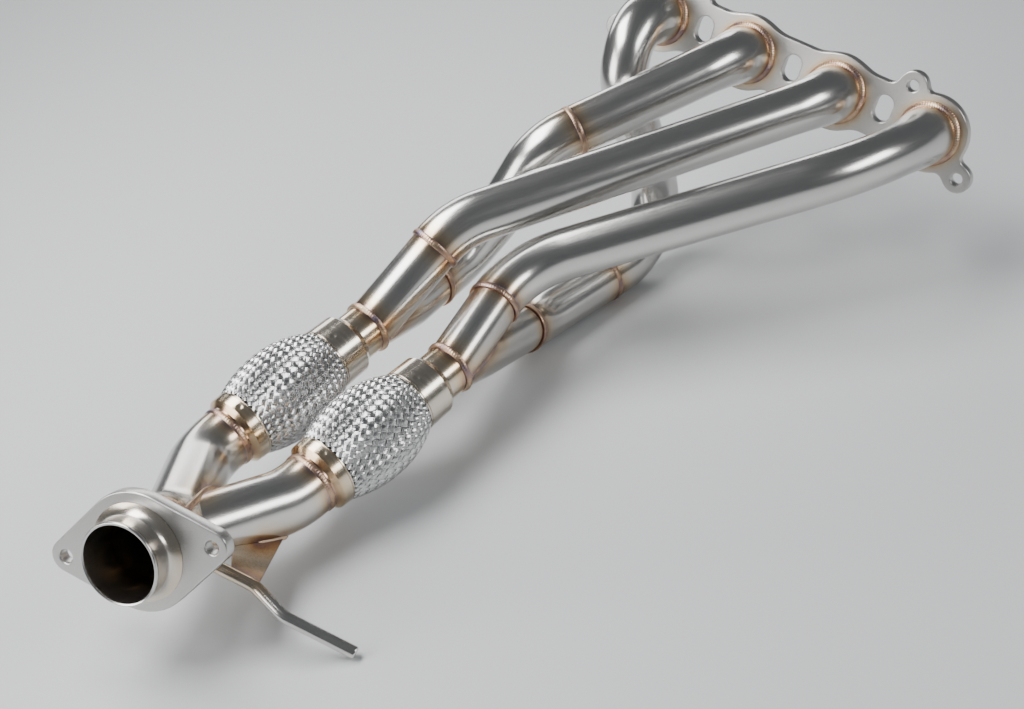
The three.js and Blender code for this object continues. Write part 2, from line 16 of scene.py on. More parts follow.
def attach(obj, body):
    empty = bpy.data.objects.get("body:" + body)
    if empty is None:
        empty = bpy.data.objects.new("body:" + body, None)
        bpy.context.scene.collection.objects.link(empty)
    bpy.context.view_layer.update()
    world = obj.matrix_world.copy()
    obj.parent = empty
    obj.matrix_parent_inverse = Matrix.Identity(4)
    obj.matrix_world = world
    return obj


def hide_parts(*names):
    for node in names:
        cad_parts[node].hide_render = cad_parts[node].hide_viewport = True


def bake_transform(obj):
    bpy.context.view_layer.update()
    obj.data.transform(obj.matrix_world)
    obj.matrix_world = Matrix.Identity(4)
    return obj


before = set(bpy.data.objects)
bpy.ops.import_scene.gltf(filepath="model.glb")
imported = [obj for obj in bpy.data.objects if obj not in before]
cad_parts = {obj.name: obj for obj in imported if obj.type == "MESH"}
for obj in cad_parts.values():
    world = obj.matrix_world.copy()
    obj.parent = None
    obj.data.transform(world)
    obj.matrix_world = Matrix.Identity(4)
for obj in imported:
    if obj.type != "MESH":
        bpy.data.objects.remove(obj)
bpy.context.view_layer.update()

# ---- driving dimensions, as in the CAD source ----
FRAME_SHIFT = np.array([-67.65, 72.93, 0.0])
GAP = 0.3
WALL = 1.5
BUTT_GAP = 3.2
PORT_PITCH = 94
HEAD_PLATE = 10
PRIMARY_OD = 45
PORT_END_OD = 51.6
PORT_BORE = 48
FLARE_START = 6
FLARE_LENGTH = 70
LEG_OD = 42.7
SECONDARY_OD = 50.8
SPIGOT_OD = 61
SPIGOT_STANDING = 23
OUTLET_PLATE = 10
OVAL_RADIUS = 45.5
EAR_SPACING = 126
EAR_RADIUS = 12.5
BOLT_HOLE_RADIUS = 5.5
ROD_DIAMETER = 9.6
FLEX_LENGTH = 159
FLEX_HALF_SPACING = 44
STUB_END = 20
BRAID_START = 52
BRAID_END = 140
BRAID_START_RADIUS = 28
BRAID_MIDDLE_RADIUS = 39.5
BRAID_END_RADIUS = 30.5
MERGE_DEPTH = 68
MERGE_DROP = 7
SWELL_LENGTH = 52
OUTLET_RADIUS = SPIGOT_OD / 2 + 1.5
ROD_START = 2
OUTLET_STRAIGHT = 12

# ---- fineness of the meshes ----
AROUND = 72
ROW_LENGTH = 3.0
SHARP_ANGLE = math.radians(38)

BODY_UP = "manifold"
BODY_FLEX = "flex_core"
BODY_DOWN = "downpipe"


def vec(x, y, z):
    return np.array([x, y, z], float)


def unit(v):
    return v / np.linalg.norm(v)


def units(rows):
    return rows / np.linalg.norm(rows, axis=1, keepdims=True)


def turns(count):
    """Angles at even distances round a circle."""
    return np.linspace(0, 2 * math.pi, count, endpoint=False)


def resampled(s, where, table):
    """A table's columns, known at the distances where, at the distances s."""
    return np.stack([np.interp(s, where, column) for column in table.T], axis=-1)


def square_to(v, axis):
    """v made perpendicular to a unit axis."""
    return unit(v - axis * (v @ axis))


def any_square(axis):
    return square_to(vec(0, 0, 1) if abs(axis[2]) < 0.9 else vec(1, 0, 0), axis)


PORT_LINE = unit(vec(0.145, -0.935, -0.325))
HEAD_NORMAL = square_to(vec(-0.948, -0.227, 0.221), PORT_LINE)
FIRST_PORT = vec(417, 50, 213)
PORTS = [FIRST_PORT + PORT_LINE * PORT_PITCH * i for i in range(4)]
FLEX_DIRECTION = unit(vec(-0.993, 0, -0.121))
FLEX_INLETS = {
    "right": vec(4, -FLEX_HALF_SPACING, 70.5), "left": vec(-4, FLEX_HALF_SPACING, 87.5),
}
FLEX_OUTLETS = {
    side: inlet + FLEX_DIRECTION * FLEX_LENGTH for side, inlet in FLEX_INLETS.items()
}
OUTLET_INWARD = unit(vec(0.886, 0.377, -0.271))
OUTLET_ACROSS = square_to(vec(0.43, -0.89, 0.153), OUTLET_INWARD)
SPIGOT_MOUTH = vec(-329, -56.5, 95)
OUTLET_CENTRE = SPIGOT_MOUTH + OUTLET_INWARD * SPIGOT_STANDING
OUTLET_BACK = OUTLET_CENTRE + OUTLET_INWARD * OUTLET_PLATE
MERGE_CENTRE = SPIGOT_MOUTH + OUTLET_INWARD * MERGE_DEPTH
MERGE_SIDE = MERGE_CENTRE - vec(0, 0, MERGE_DROP)
OUTLET_RUN = OUTLET_BACK + OUTLET_INWARD * OUTLET_STRAIGHT
OUTLET_START = OUTLET_BACK + OUTLET_INWARD * GAP


# ---- routes ----
class Route:
    """Corner points with a bend radius at each inner corner.

    It is tabulated every millimetre, with a frame that doesn't twist.
    """

    OVERRUN = 40

    def __init__(self, corners, radii):
        self.bends = []
        spots = []
        cursor, distance = corners[0], 0.0
        for before, corner, after, radius in zip(corners, corners[1:], corners[2:], radii):
            into, out = unit(corner - before), unit(after - corner)
            turn = math.acos(np.clip(into @ out, -1, 1))
            setback = radius * math.tan(turn / 2)
            start = corner - into * setback
            to_centre = unit(np.cross(np.cross(into, out), into))
            straight = np.linalg.norm(start - cursor)
            spots += [
                (cursor + into * s, into)
                for s in np.linspace(0, straight, max(2, int(straight)))[:-1]
            ]
            distance += straight
            steps = max(4, int(radius * turn))
            for angle in np.linspace(0, turn, steps)[:-1]:
                point = (
                    start
                    + to_centre * radius * (1 - math.cos(angle))
                    + into * radius * math.sin(angle)
                )
                spots.append((point, into * math.cos(angle) + to_centre * math.sin(angle)))
            self.bends.append((distance, distance + radius * turn))
            distance += radius * turn
            cursor = corner + out * setback
        into = unit(corners[-1] - cursor)
        straight = np.linalg.norm(corners[-1] - cursor)
        spots += [
            (cursor + into * s, into)
            for s in np.linspace(0, straight, max(2, int(straight)))
        ]
        self.length = distance + straight
        spots.append((corners[-1] + into * self.OVERRUN, into))
        self.points = np.array([p for p, _ in spots])
        self.tangents = np.array([t for _, t in spots])
        steps = np.linalg.norm(np.diff(self.points, axis=0), axis=1)
        self.s = np.concatenate([[0], np.cumsum(steps)])
        self.s[-1] = self.length + self.OVERRUN
        normals = [any_square(self.tangents[0])]
        for tangent in self.tangents[1:]:
            normals.append(square_to(normals[-1], tangent))
        self.normals = np.array(normals)

    def end_of_bend(self, number):
        return self.bends[number - 1][1]

    def start_of_bend(self, number):
        return self.bends[number - 1][0]

    def _look(self, table, s):
        return resampled(s, self.s, table)

    def station(self, s):
        return self._look(self.points, s), unit(self._look(self.tangents, s))

    def surface(self, s, angle, radius):
        """Points at distance s, at an angle round the tube and a radius from its centreline."""
        point = self._look(self.points, s)
        tangent = self._look(self.tangents, s)
        normal = self._look(self.normals, s)
        other = np.cross(tangent, normal)
        reach = np.asarray(radius)[..., None] if np.ndim(radius) else radius
        return (
            point
            + reach * np.cos(angle)[..., None] * normal
            + reach * np.sin(angle)[..., None] * other
        )

    def grain(self, points):
        """Distance along the route and place in its cross-section, of any points near it."""
        nearest = np.array([np.argmin(((self.points - p) ** 2).sum(axis=1)) for p in points])
        offset = points - self.points[nearest]
        normal, tangent = self.normals[nearest], self.tangents[nearest]
        other = np.cross(tangent, normal)
        along = self.s[nearest] + (offset * tangent).sum(axis=1)
        return np.stack(
            [along, (offset * normal).sum(axis=1), (offset * other).sum(axis=1)], -1
        )

    def core(self, start, end):
        """Centreline points from one distance to another."""
        return self._look(self.points, np.linspace(start, end, max(2, int(end - start))))


def primary_route(port, straight, corners, side, radii):
    """From a port square to the flange, then by its corners to a flex coupling."""
    start = PORTS[port]
    return Route([start, start + HEAD_NORMAL * straight, *corners, FLEX_INLETS[side]], radii)


def secondary_route(side, straight, corners, radii):
    """From a flex coupling along its own line, then by its corners to the outlet."""
    start = FLEX_OUTLETS[side]
    return Route([start, start + FLEX_DIRECTION * straight, *corners, OUTLET_START], radii)


ROUTES = {
    "4": primary_route(3, 112, [vec(118.5, -21, 102)], "right", [130, 85]),
    "3": primary_route(2, 50, [vec(91.5, 20, 146.5)], "left", [60, 90]),
    "2": primary_route(
        1, 50,
        [vec(217.5, 32.5, 163.5), vec(181.5, 61, 107.5), vec(140, 77, 76), vec(54.5, 59, 76)],
        "left", [60, 70, 60, 60, 60],
    ),
    "1": primary_route(
        0, 56,
        [vec(337, 35.5, 181), vec(339.5, 5.5, 49.5), vec(279.5, 3.5, PRIMARY_OD / 2),
         vec(152.5, 7, PRIMARY_OD / 2), vec(55.5, -25.5, 51.5)],
        "right", [42, 55, 60, 60, 75, 75],
    ),
}
SECONDARY_ROUTES = {
    "right": secondary_route("right", 22, [MERGE_SIDE, OUTLET_RUN], [80, 50, 30]),
    "left": secondary_route("left", 26, [MERGE_CENTRE], [60, 60]),
}
WELDS = {
    "4": [ROUTES["4"].end_of_bend(2) + 2], "3": [ROUTES["3"].end_of_bend(2) + 2],
    "2": [ROUTES["2"].start_of_bend(2) - 6, ROUTES["2"].end_of_bend(4) + 22],
    "1": [ROUTES["1"].end_of_bend(4) + 22, ROUTES["1"].end_of_bend(5) + 8],
}


# ---- materials ----
def shader(name, rough):
    """A metal material, with its node tree's main parts."""
    material = bpy.data.materials.new(name)
    material.use_nodes = True
    tree = material.node_tree
    surface = tree.nodes["Principled BSDF"]
    surface.inputs["Metallic"].default_value = 1.0
    surface.inputs["Roughness"].default_value = rough
    return material, tree, surface


def noise(tree, vector, scale, detail=3.0, stretch=(1, 1, 1)):
    """The noise texture's factor on a vector, stretched along each axis."""
    mapping = tree.nodes.new("ShaderNodeMapping")
    mapping.inputs["Scale"].default_value = stretch
    tree.links.new(vector, mapping.inputs["Vector"])
    texture = tree.nodes.new("ShaderNodeTexNoise")
    texture.inputs["Scale"].default_value = scale
    texture.inputs["Detail"].default_value = detail
    tree.links.new(mapping.outputs["Vector"], texture.inputs["Vector"])
    return texture.outputs["Fac"]


def attribute(tree, name, output):
    node = tree.nodes.new("ShaderNodeAttribute")
    node.attribute_name = name
    return node.outputs[output]


def ramp(tree, factor, stops):
    node = tree.nodes.new("ShaderNodeValToRGB")
    elements = node.color_ramp.elements
    while len(elements) < len(stops):
        elements.new(0.5)
    for element, (place, colour) in zip(elements, stops):
        element.position = place
        element.color = (*colour, 1)
    tree.links.new(factor, node.inputs["Fac"])
    return node.outputs["Color"]


def spread(tree, factor, low, high, out_low, out_high):
    """A factor mapped from one range to another."""
    node = tree.nodes.new("ShaderNodeMapRange")
    for key, value in zip(
        ("From Min", "From Max", "To Min", "To Max"), (low, high, out_low, out_high)
    ):
        node.inputs[key].default_value = value
    tree.links.new(factor, node.inputs["Value"])
    return node.outputs["Result"]


def total(tree, a, b):
    node = tree.nodes.new("ShaderNodeMath")
    node.operation = "ADD"
    tree.links.new(a, node.inputs[0])
    tree.links.new(b, node.inputs[1])
    return node.outputs["Value"]


def multiply(tree, a, b):
    node = tree.nodes.new("ShaderNodeMixRGB")
    node.blend_type = "MULTIPLY"
    node.inputs["Fac"].default_value = 1.0
    tree.links.new(a, node.inputs["Color1"])
    tree.links.new(b, node.inputs["Color2"])
    return node.outputs["Color"]


def bump(tree, surface, height, distance, strength=1.0):
    node = tree.nodes.new("ShaderNodeBump")
    node.inputs["Distance"].default_value = distance
    node.inputs["Strength"].default_value = strength
    tree.links.new(height, node.inputs["Height"])
    tree.links.new(node.outputs["Normal"], surface.inputs["Normal"])


# Colours that the steel takes on, from the weld outward, in millimetres.
HEAT_STOPS = [
    (0.0, (0.40, 0.33, 0.31)), (2.6, (0.42, 0.32, 0.29)), (4.0, (0.50, 0.36, 0.26)),
    (7.0, (0.64, 0.50, 0.35)), (12.0, (0.68, 0.60, 0.49)), (20.0, (0.66, 0.635, 0.60)),
    (34.0, (0.63, 0.62, 0.60)),
]
HEAT_REACH = 40.0


def paint(tree, surface, colour):
    tree.links.new(colour, surface.inputs["Base Color"])


def roughen(tree, surface, factor, low, high):
    """Roughness that follows a factor between two values."""
    tree.links.new(spread(tree, factor, 0.3, 0.7, low, high), surface.inputs["Roughness"])


def heat_steel(name, rough, streaks, tint=(1, 1, 1), grain_stretch=(0.04, 1, 1), narrowing=1.0):
    """Steel that darkens and yellows near its welds, with brushed streaks along the grain."""
    material, tree, surface = shader(name, rough)
    grain = attribute(tree, "grain", "Vector")
    heat = attribute(tree, "weld_distance", "Fac")
    patches = noise(tree, grain, 45.0, 2.0)
    wander = spread(tree, patches, 0.3, 0.7, -0.06, 0.06)
    near = total(tree, spread(tree, heat, 0, 1, 0, narrowing), wander)
    tinted = ramp(
        tree, near,
        [(mm / HEAT_REACH, tuple(np.array(c) * np.array(tint))) for mm, c in HEAT_STOPS],
    )
    fine = noise(tree, grain, 1400.0, 4.0, grain_stretch)
    shade = ramp(tree, fine, [(0.3, (0.965, 0.965, 0.965)), (0.7, (1, 1, 1))])
    paint(tree, surface, multiply(tree, tinted, shade))
    roughen(tree, surface, fine, rough - streaks, rough + streaks)
    bump(tree, surface, fine, 0.00002, 0.06)
    return material


def bead_metal():
    """Weld bead: pinkish brown that turns purple and straw along its length."""
    material, tree, surface = shader("weld_bead", 0.34)
    grain = attribute(tree, "grain", "Vector")
    along = noise(tree, grain, 60.0, 3.0)
    colour = ramp(
        tree, along,
        [
            (0.25, (0.24, 0.20, 0.27)), (0.40, (0.37, 0.25, 0.21)), (0.52, (0.52, 0.35, 0.24)),
            (0.62, (0.62, 0.46, 0.31)), (0.80, (0.46, 0.41, 0.38)),
        ],
    )
    paint(tree, surface, colour)
    fine = noise(tree, grain, 900.0, 3.0)
    roughen(tree, surface, fine, 0.24, 0.42)
    bump(tree, surface, fine, 0.00003, 0.4)
    return material


def wire_metal():
    """Braid wire: bright strands, each carrier a little different."""
    material, tree, surface = shader("braid_wire", 0.24)
    grain = attribute(tree, "grain", "Vector")
    fine = noise(tree, grain, 700.0, 3.0, (0.05, 1, 1))
    colour = ramp(tree, fine, [(0.3, (0.46, 0.46, 0.46)), (0.7, (0.78, 0.78, 0.77))])
    paint(tree, surface, colour)
    roughen(tree, surface, fine, 0.17, 0.3)
    return material


def cad_metal(name, low, high, rough):
    """Metal for the sealed inner nodes that stay as packed."""
    material, tree, surface = shader(name, rough)
    spot = tree.nodes.new("ShaderNodeTexCoord").outputs["Object"]
    fine = noise(tree, spot, 300.0, 4.0)
    paint(tree, surface, ramp(tree, fine, [(0.3, low), (0.7, high)]))
    roughen(tree, surface, fine, rough - 0.08, rough + 0.08)
    return material


STEEL = heat_steel("brushed_tube", 0.22, 0.03)
PLATE_STEEL = heat_steel(
    "ground_plate", 0.33, 0.08, tint=(0.9, 0.9, 0.9), grain_stretch=(1, 1, 1), narrowing=2.2
)
FERRULE_STEEL = heat_steel(
    "ferrule_steel", 0.19, 0.05, tint=(1.05, 0.98, 0.87), grain_stretch=(1, 0.05, 0.05)
)
# The gusset's darker, browner tint is partly heat tint and partly painted shade: its face, under
# the pipe, is darkened to stand for the shadow it sits in.
GUSSET_STEEL_HEAT_TINT_AND_PAINTED_SHADE = heat_steel(
    "heat_tinted_gusset_painted_shade", 0.3, 0.06, tint=(0.72, 0.66, 0.6), grain_stretch=(1, 1, 1), narrowing=0.7
)
ROD_STEEL = heat_steel("polished_rod", 0.2, 0.05)
WELD = bead_metal()
WIRE = wire_metal()
BELLOWS_METAL = cad_metal("bellows_metal", (0.42, 0.4, 0.38), (0.6, 0.58, 0.55), 0.3)
LINER_METAL = cad_metal("liner_metal", (0.34, 0.33, 0.31), (0.5, 0.48, 0.45), 0.42)


# ---- meshes ----
weld_points = []
heated = []


def added(name, data):
    """A new object, linked into the scene."""
    made = bpy.data.objects.new(name, data)
    bpy.context.scene.collection.objects.link(made)
    return made


def dress(mesh, material, grain):
    """Smooth shading up to the sharp angle, a material, and the grain in metres."""
    mesh.shade_smooth()
    mesh.set_sharp_from_angle(angle=SHARP_ANGLE)
    mesh.materials.clear()
    mesh.materials.append(material)
    if "grain" in mesh.attributes:
        mesh.attributes.remove(mesh.attributes["grain"])
    layer = mesh.attributes.new("grain", "FLOAT_VECTOR", "POINT")
    layer.data.foreach_set("vector", (grain / 1000).ravel())


def new_piece(name, points, faces, material, body, stands_for, grain=None):
    """A smooth-shaded piece in metres that rides on a body and stands for CAD nodes."""
    points = np.asarray(points, float).reshape(-1, 3)
    mesh = bpy.data.meshes.new(name)
    mesh.from_pydata(((points + FRAME_SHIFT) / 1000).tolist(), [], faces)
    mesh.validate()
    dress(mesh, material, points if grain is None else np.asarray(grain, float).reshape(-1, 3))
    piece = added(name, mesh)
    if body:
        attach(piece, body)
    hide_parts(*stands_for)
    heated.append(piece)
    return piece


def grid_faces(rows, columns, wrap_rows, offset=0):
    """Quads of a grid of points that closes round its columns and, if wanted, round its rows."""
    faces = []
    for i in range(rows if wrap_rows else rows - 1):
        here, there = offset + i * columns, offset + (i + 1) % rows * columns
        for j in range(columns):
            k = (j + 1) % columns
            faces.append((here + j, here + k, there + k, there + j))
    return faces


def capped_faces(rows, columns, offset=0):
    """Quads of a tube of points, with a face across each end."""
    last = offset + (rows - 1) * columns
    return grid_faces(rows, columns, False, offset) + [
        tuple(range(offset, offset + columns))[::-1], tuple(range(last, last + columns)),
    ]


def ring_grid(points):
    """Points and faces of a closed skin: rows of rings, the last row joining the first."""
    rows, columns = points.shape[:2]
    return points, grid_faces(rows, columns, True)


# ---- tubes ----
def first_crossing(route, radius, start, end, clearance, growth=None):
    """Where each line along the tube first meets clearance <= 0, and which lines do."""
    angles = turns(AROUND)
    s = np.arange(start, end, 1.0)[:, None] + 0 * angles
    wider = growth(s) if growth else 0
    values = clearance(route.surface(s, angles + 0 * s, radius + wider))
    ends, met = np.full(AROUND, end), np.zeros(AROUND, bool)
    for j in range(AROUND):
        below = np.nonzero(values[:, j] <= 0)[0]
        if len(below) and below[0] > 0:
            i = below[0]
            a, b = values[i - 1, j], values[i, j]
            ends[j] = s[i - 1, j] + a / (a - b)
            met[j] = True
    return ends, met


def before_plane(point, direction):
    return lambda spots: -(spots - point) @ direction


def outside_core(core, radius):
    """Clearance from a tube along core. radius is one number, or one for each core point."""
    radii = radius + np.zeros(len(core))

    def clearance(spots):
        flat = spots.reshape(-1, 3)
        nearest = np.full(len(flat), 1e9)
        for k in range(0, len(core) - 1, 2):
            end = min(k + 2, len(core) - 1)
            line = core[end] - core[k]
            t = np.clip((flat - core[k]) @ line / (line @ line), 0, 1)
            away = np.linalg.norm(flat - core[k] - t[:, None] * line, axis=1)
            nearest = np.minimum(nearest, away - radii[k] * (1 - t) - radii[end] * t)
        return nearest.reshape(spots.shape[:-1])

    return clearance


def tube(name, route, start, end, od, body, node, growth=None):
    """A hollow tube along a route. start and end may hold one distance for each line round it."""
    angles = turns(AROUND)
    start, end = start + 0 * angles, end + 0 * angles
    rows = max(3, int((end - start).max() / ROW_LENGTH))
    share = np.linspace(0, 1, rows)[:, None]
    s = start[None, :] * (1 - share) + end[None, :] * share
    around = angles[None, :] + 0 * s
    wider = growth(s) if growth else 0 * s
    outer_radius, inner_radius = od / 2 + wider, od / 2 - WALL + wider
    outer = route.surface(s, around, outer_radius)
    inner = route.surface(s, around, inner_radius)[::-1]
    points, faces = ring_grid(np.concatenate([outer, inner]))
    both = np.concatenate([s, s[::-1]])
    turn = np.concatenate([around, around])
    grain = np.stack([both, od / 2 * np.cos(turn), od / 2 * np.sin(turn)], axis=-1)
    return new_piece(name, points, faces, STEEL, body, [node], grain)


def turned(
    name, profile, origin, direction, material, body, node, dent=None, around=AROUND
):
    """A turned piece. Profile points are (radius, distance along the direction)."""
    side = any_square(direction)
    other = np.cross(direction, side)
    angles = turns(around)
    profile = np.array(profile, float)
    area = np.sum(
        profile[:, 0] * np.roll(profile[:, 1], -1)
        - np.roll(profile[:, 0], -1) * profile[:, 1]
    )
    if area < 0:
        profile = profile[::-1]
    radius = profile[:, :1] + 0 * angles
    along = profile[:, 1:] + 0 * angles
    turn = angles[None, :] + 0 * radius
    if dent:
        radius = radius - dent(radius, along, turn)
    spots = (
        origin
        + along[..., None] * direction
        + (radius * np.cos(turn))[..., None] * side
        + (radius * np.sin(turn))[..., None] * other
    )
    points, faces = ring_grid(spots)
    grain = np.stack([along, radius * np.cos(turn), radius * np.sin(turn)], axis=-1)
    return new_piece(name, points, faces, material, body, [node], grain)


# ---- weld beads ----
BEAD_PITCH = 2.3
BEAD_SAMPLES = 6
BEAD_ACROSS = 8
RIPPLE_BOW = 0.55
RIPPLE_DEPTH = 0.34
FADE_LENGTH = BEAD_PITCH * 1.2


def bead(name, path, outward, width, height, depth, body, nodes, closed=True, floor=False):
    """A rippled bead along a path. outward holds the surface normal at each path point."""
    steps = np.linalg.norm(np.diff(path, axis=0, append=path[:1]), axis=1)
    length = steps.sum() if closed else steps[:-1].sum()
    ripples = max(3, round(length / BEAD_PITCH))
    count = ripples * BEAD_SAMPLES
    where = np.concatenate([[0], np.cumsum(steps)])
    s = np.linspace(0, length, count, endpoint=not closed)
    spots = resampled(s, where, np.concatenate([path, path[:1]]))[:, None, :]
    normal = resampled(s, where, np.concatenate([outward, outward[:1]]))[:, None, :]
    if closed:
        tangent = np.roll(spots, -1, 0) - np.roll(spots, 1, 0)
    else:
        tangent = np.gradient(spots, axis=0)
    across = units(np.cross(units(tangent[:, 0]), normal[:, 0]))[:, None, :]
    angle = np.linspace(0, math.pi, BEAD_ACROSS)
    x, y = -np.cos(angle), np.sin(angle)
    turn = s[:, None] / length * ripples - RIPPLE_BOW * (1 - x**2)
    lift = 1 - RIPPLE_DEPTH * (turn - np.floor(turn)) ** 2
    fade = np.ones((count, 1))
    if not closed:
        fade = np.clip(np.minimum(s, length - s)[:, None] / FADE_LENGTH, 0.15, 1) ** 0.5
    top = (
        spots
        + (x * width * fade)[..., None] * across
        + (y * height * lift * fade)[..., None] * normal
    )
    sides = np.array([0.7, -0.7])[:, None]
    low = spots + sides * width * across * fade[..., None] - depth * normal
    points = np.concatenate([top, low], axis=1)
    if floor:
        points[..., 2] = np.maximum(points[..., 2], 0.0)
    rows, columns = points.shape[:2]
    faces = grid_faces(rows, columns, True) if closed else capped_faces(rows, columns)
    weld_points.extend(path[:: max(1, len(path) // 180)])
    return new_piece(name, points, faces, WELD, body, nodes)


def circle(centre, direction, radius, count=240):
    side = any_square(direction)
    other = np.cross(direction, side)
    turn = turns(count)
    radial = np.cos(turn)[:, None] * side + np.sin(turn)[:, None] * other
    return centre + radius * radial, radial


def butt_weld(node, centre, direction, radius, body, floor=False):
    path, radial = circle(centre, direction, radius)
    return bead(node + "_bead", path, radial, 2.7, 0.9, WALL, body, [node], floor=floor)


def fillet_weld(node, centre, direction, radius, leg, body, tilt=1.0):
    """A bead in the corner between a tube and the face it stands on."""
    path, radial = circle(centre + direction * leg * 0.3, direction, radius + leg * 0.3)
    normals = units(radial + direction * tilt)
    return bead(node + "_bead", path, normals, leg * 0.72, leg * 0.36, leg * 0.3, body, [node])


# ---- plates ----
OUTLINE_STEP = 0.8
SMALLEST_LOOP = 3
RIM_SPACING = 1.3
LATTICE_STEP = 4.0
LATTICE_MARGIN = 2.5
SLIVER_AREA = 0.003


def contours(field, low, high, step):
    """Closed loops where field is zero, with its negative side on the left."""
    xs, ys = (np.arange(low[k], high[k] + step, step) for k in range(2))
    values = field(*np.meshgrid(xs, ys, indexing="ij"))
    inside = values < 0
    near = (inside[:-1, :-1].astype(int) + inside[1:, :-1] + inside[:-1, 1:] + inside[1:, 1:])
    links = {}
    for i, j in np.argwhere((near > 0) & (near < 4)):
        corners = [(i, j), (i + 1, j), (i + 1, j + 1), (i, j + 1)]
        edges = [(corners[k], corners[(k + 1) % 4]) for k in range(4)]
        cut = [e for e in edges if inside[e[0]] != inside[e[1]]]
        if not inside[cut[0][0]]:
            cut = cut[1:] + cut[:1]
        for leaving, entering in zip(cut[::2], cut[1::2]):
            links[tuple(sorted(leaving))] = tuple(sorted(entering))
    loops = []
    while links:
        key, following = links.popitem()
        loop = [key]
        while following in links:
            loop.append(following)
            following = links.pop(following)
        spots = []
        for a, b in loop:
            t = values[a] / (values[a] - values[b])
            x = xs[a[0]] + t * (xs[b[0]] - xs[a[0]])
            spots.append((x, ys[a[1]] + t * (ys[b[1]] - ys[a[1]])))
        if np.ptp(spots, axis=0).max() > SMALLEST_LOOP:
            loops.append(np.array(spots))
    return loops


def even(loop, spacing):
    """A closed loop with points at even distances."""
    steps = np.linalg.norm(np.diff(loop, axis=0, append=loop[:1]), axis=1)
    where = np.concatenate([[0], np.cumsum(steps)])
    count = max(24, round(where[-1] / spacing))
    s = np.linspace(0, where[-1], count, endpoint=False)
    ring = np.concatenate([loop, loop[:1]])
    made = resampled(s, where, ring)
    return (np.roll(made, 1, 0) + 2 * made + np.roll(made, -1, 0)) / 4


def enclosed(spots, loops):
    """Which spots lie inside an odd number of loops."""
    crossings = np.zeros(len(spots), int)
    x, y = spots[:, :1], spots[:, 1:]
    for loop in loops:
        a, b = loop, np.roll(loop, -1, 0)
        spans = (a[:, 1] > y) != (b[:, 1] > y)
        rise = np.where(a[:, 1] == b[:, 1], 1, b[:, 1] - a[:, 1])
        meets = a[:, 0] + (y - a[:, 1]) / rise * (b[:, 0] - a[:, 0])
        crossings += (spans & (meets > x)).sum(axis=1)
    return crossings % 2 == 1


def plate(
    name, field, low, high, thickness, origin, x_axis, z_axis, body, node, edge, metal
):
    """A flat plate with rounded edges. field is negative where there is material."""
    loops = [even(loop, RIM_SPACING) for loop in contours(field, low, high, OUTLINE_STEP)]
    sizes = [len(loop) for loop in loops]
    quarter = np.radians([0, 30, 60, 90])
    profile = [(edge * 1.5, 0)]
    profile += [(edge * (1 - math.sin(a)), edge * (1 - math.cos(a))) for a in quarter]
    profile += [(inset, thickness - h) for inset, h in profile[::-1]]
    flat, height, faces, bottoms, tops = [], [], [], [], []
    count = 0
    for loop, n in zip(loops, sizes):
        along = units(np.roll(loop, -1, 0) - np.roll(loop, 1, 0))
        out = np.stack([along[:, 1], -along[:, 0]], -1)
        flat += [loop - out * inset for inset, _ in profile]
        height += [np.full(n, h) for _, h in profile]
        faces += grid_faces(len(profile), n, False, count)
        bottoms.append(count)
        tops.append(count + (len(profile) - 1) * n)
        count += len(profile) * n
    flat, height = np.concatenate(flat), np.concatenate(height)
    grid = np.meshgrid(*(np.arange(low[k], high[k], LATTICE_STEP) for k in range(2)))
    lattice = np.stack(grid, -1).reshape(-1, 2)
    lattice = lattice[field(lattice[:, 0], lattice[:, 1]) < -LATTICE_MARGIN]
    edges, first = [], 0
    for n in sizes:
        edges += [(first + k, first + (k + 1) % n) for k in range(n)]
        first += n
    for starts, level, upward in ((bottoms, 0.0, False), (tops, thickness, True)):
        rim = [np.arange(a, a + n) for a, n in zip(starts, sizes)]
        label = np.concatenate([*rim, np.arange(len(flat), len(flat) + len(lattice))])
        flat = np.concatenate([flat, lattice])
        spots = [Vector(p) for p in flat[label]]
        made, _, triangles, origins, _, _ = delaunay_2d_cdt(spots, edges, [], 0, 1e-6)
        centres = np.array([np.mean([made[k] for k in t], axis=0) for t in triangles])
        covered = enclosed(centres, [flat[ring] for ring in rim])
        places = np.array([label[min(o)] if o else -1 for o in origins])
        fresh = np.nonzero(places < 0)[0]
        places[fresh] = len(flat) + np.arange(len(fresh))
        flat = np.concatenate([flat, np.array([made[k] for k in fresh]).reshape(-1, 2)])
        height = np.concatenate([height, np.full(len(flat) - len(height), level)])
        for triangle in np.array(triangles)[covered]:
            ids = [int(places[k]) for k in triangle]
            a, b, c = (made[k] for k in triangle)
            area = (b - a).cross(c - a) / 2
            if abs(area) > SLIVER_AREA:
                faces.append(tuple(ids if (area > 0) == upward else ids[::-1]))
    y_axis = np.cross(z_axis, x_axis)
    points = origin + flat[:, :1] * x_axis + flat[:, 1:] * y_axis + height[:, None] * z_axis
    grain = np.stack([flat[:, 0], flat[:, 1], height], -1)
    return new_piece(name, points, faces, metal, body, [node], grain)


def pad(x, y, radius):
    return lambda px, py: np.hypot(px - x, py - y) - radius


def capsule(a, b, radius):
    a, b = np.array(a, float), np.array(b, float)
    line = b - a

    def distance(px, py):
        t = np.clip(((px - a[0]) * line[0] + (py - a[1]) * line[1]) / (line @ line), 0, 1)
        return np.hypot(px - a[0] - t * line[0], py - a[1] - t * line[1]) - radius

    return distance


def joined(shapes, fillet):
    """The union of shapes with rounded inner corners."""

    def distance(px, py):
        best = shapes[0](px, py)
        for shape in shapes[1:]:
            other = shape(px, py)
            h = np.clip(0.5 + 0.5 * (other - best) / fillet, 0, 1)
            best = other * (1 - h) + best * h - fillet * h * (1 - h)
        return best

    return distance


def pierced(shape, holes):
    def distance(px, py):
        best = shape(px, py)
        for hole in holes:
            best = np.maximum(best, -hole(px, py))
        return best

    return distance


# ---- primaries ----
PORT_FILLET = 4.5


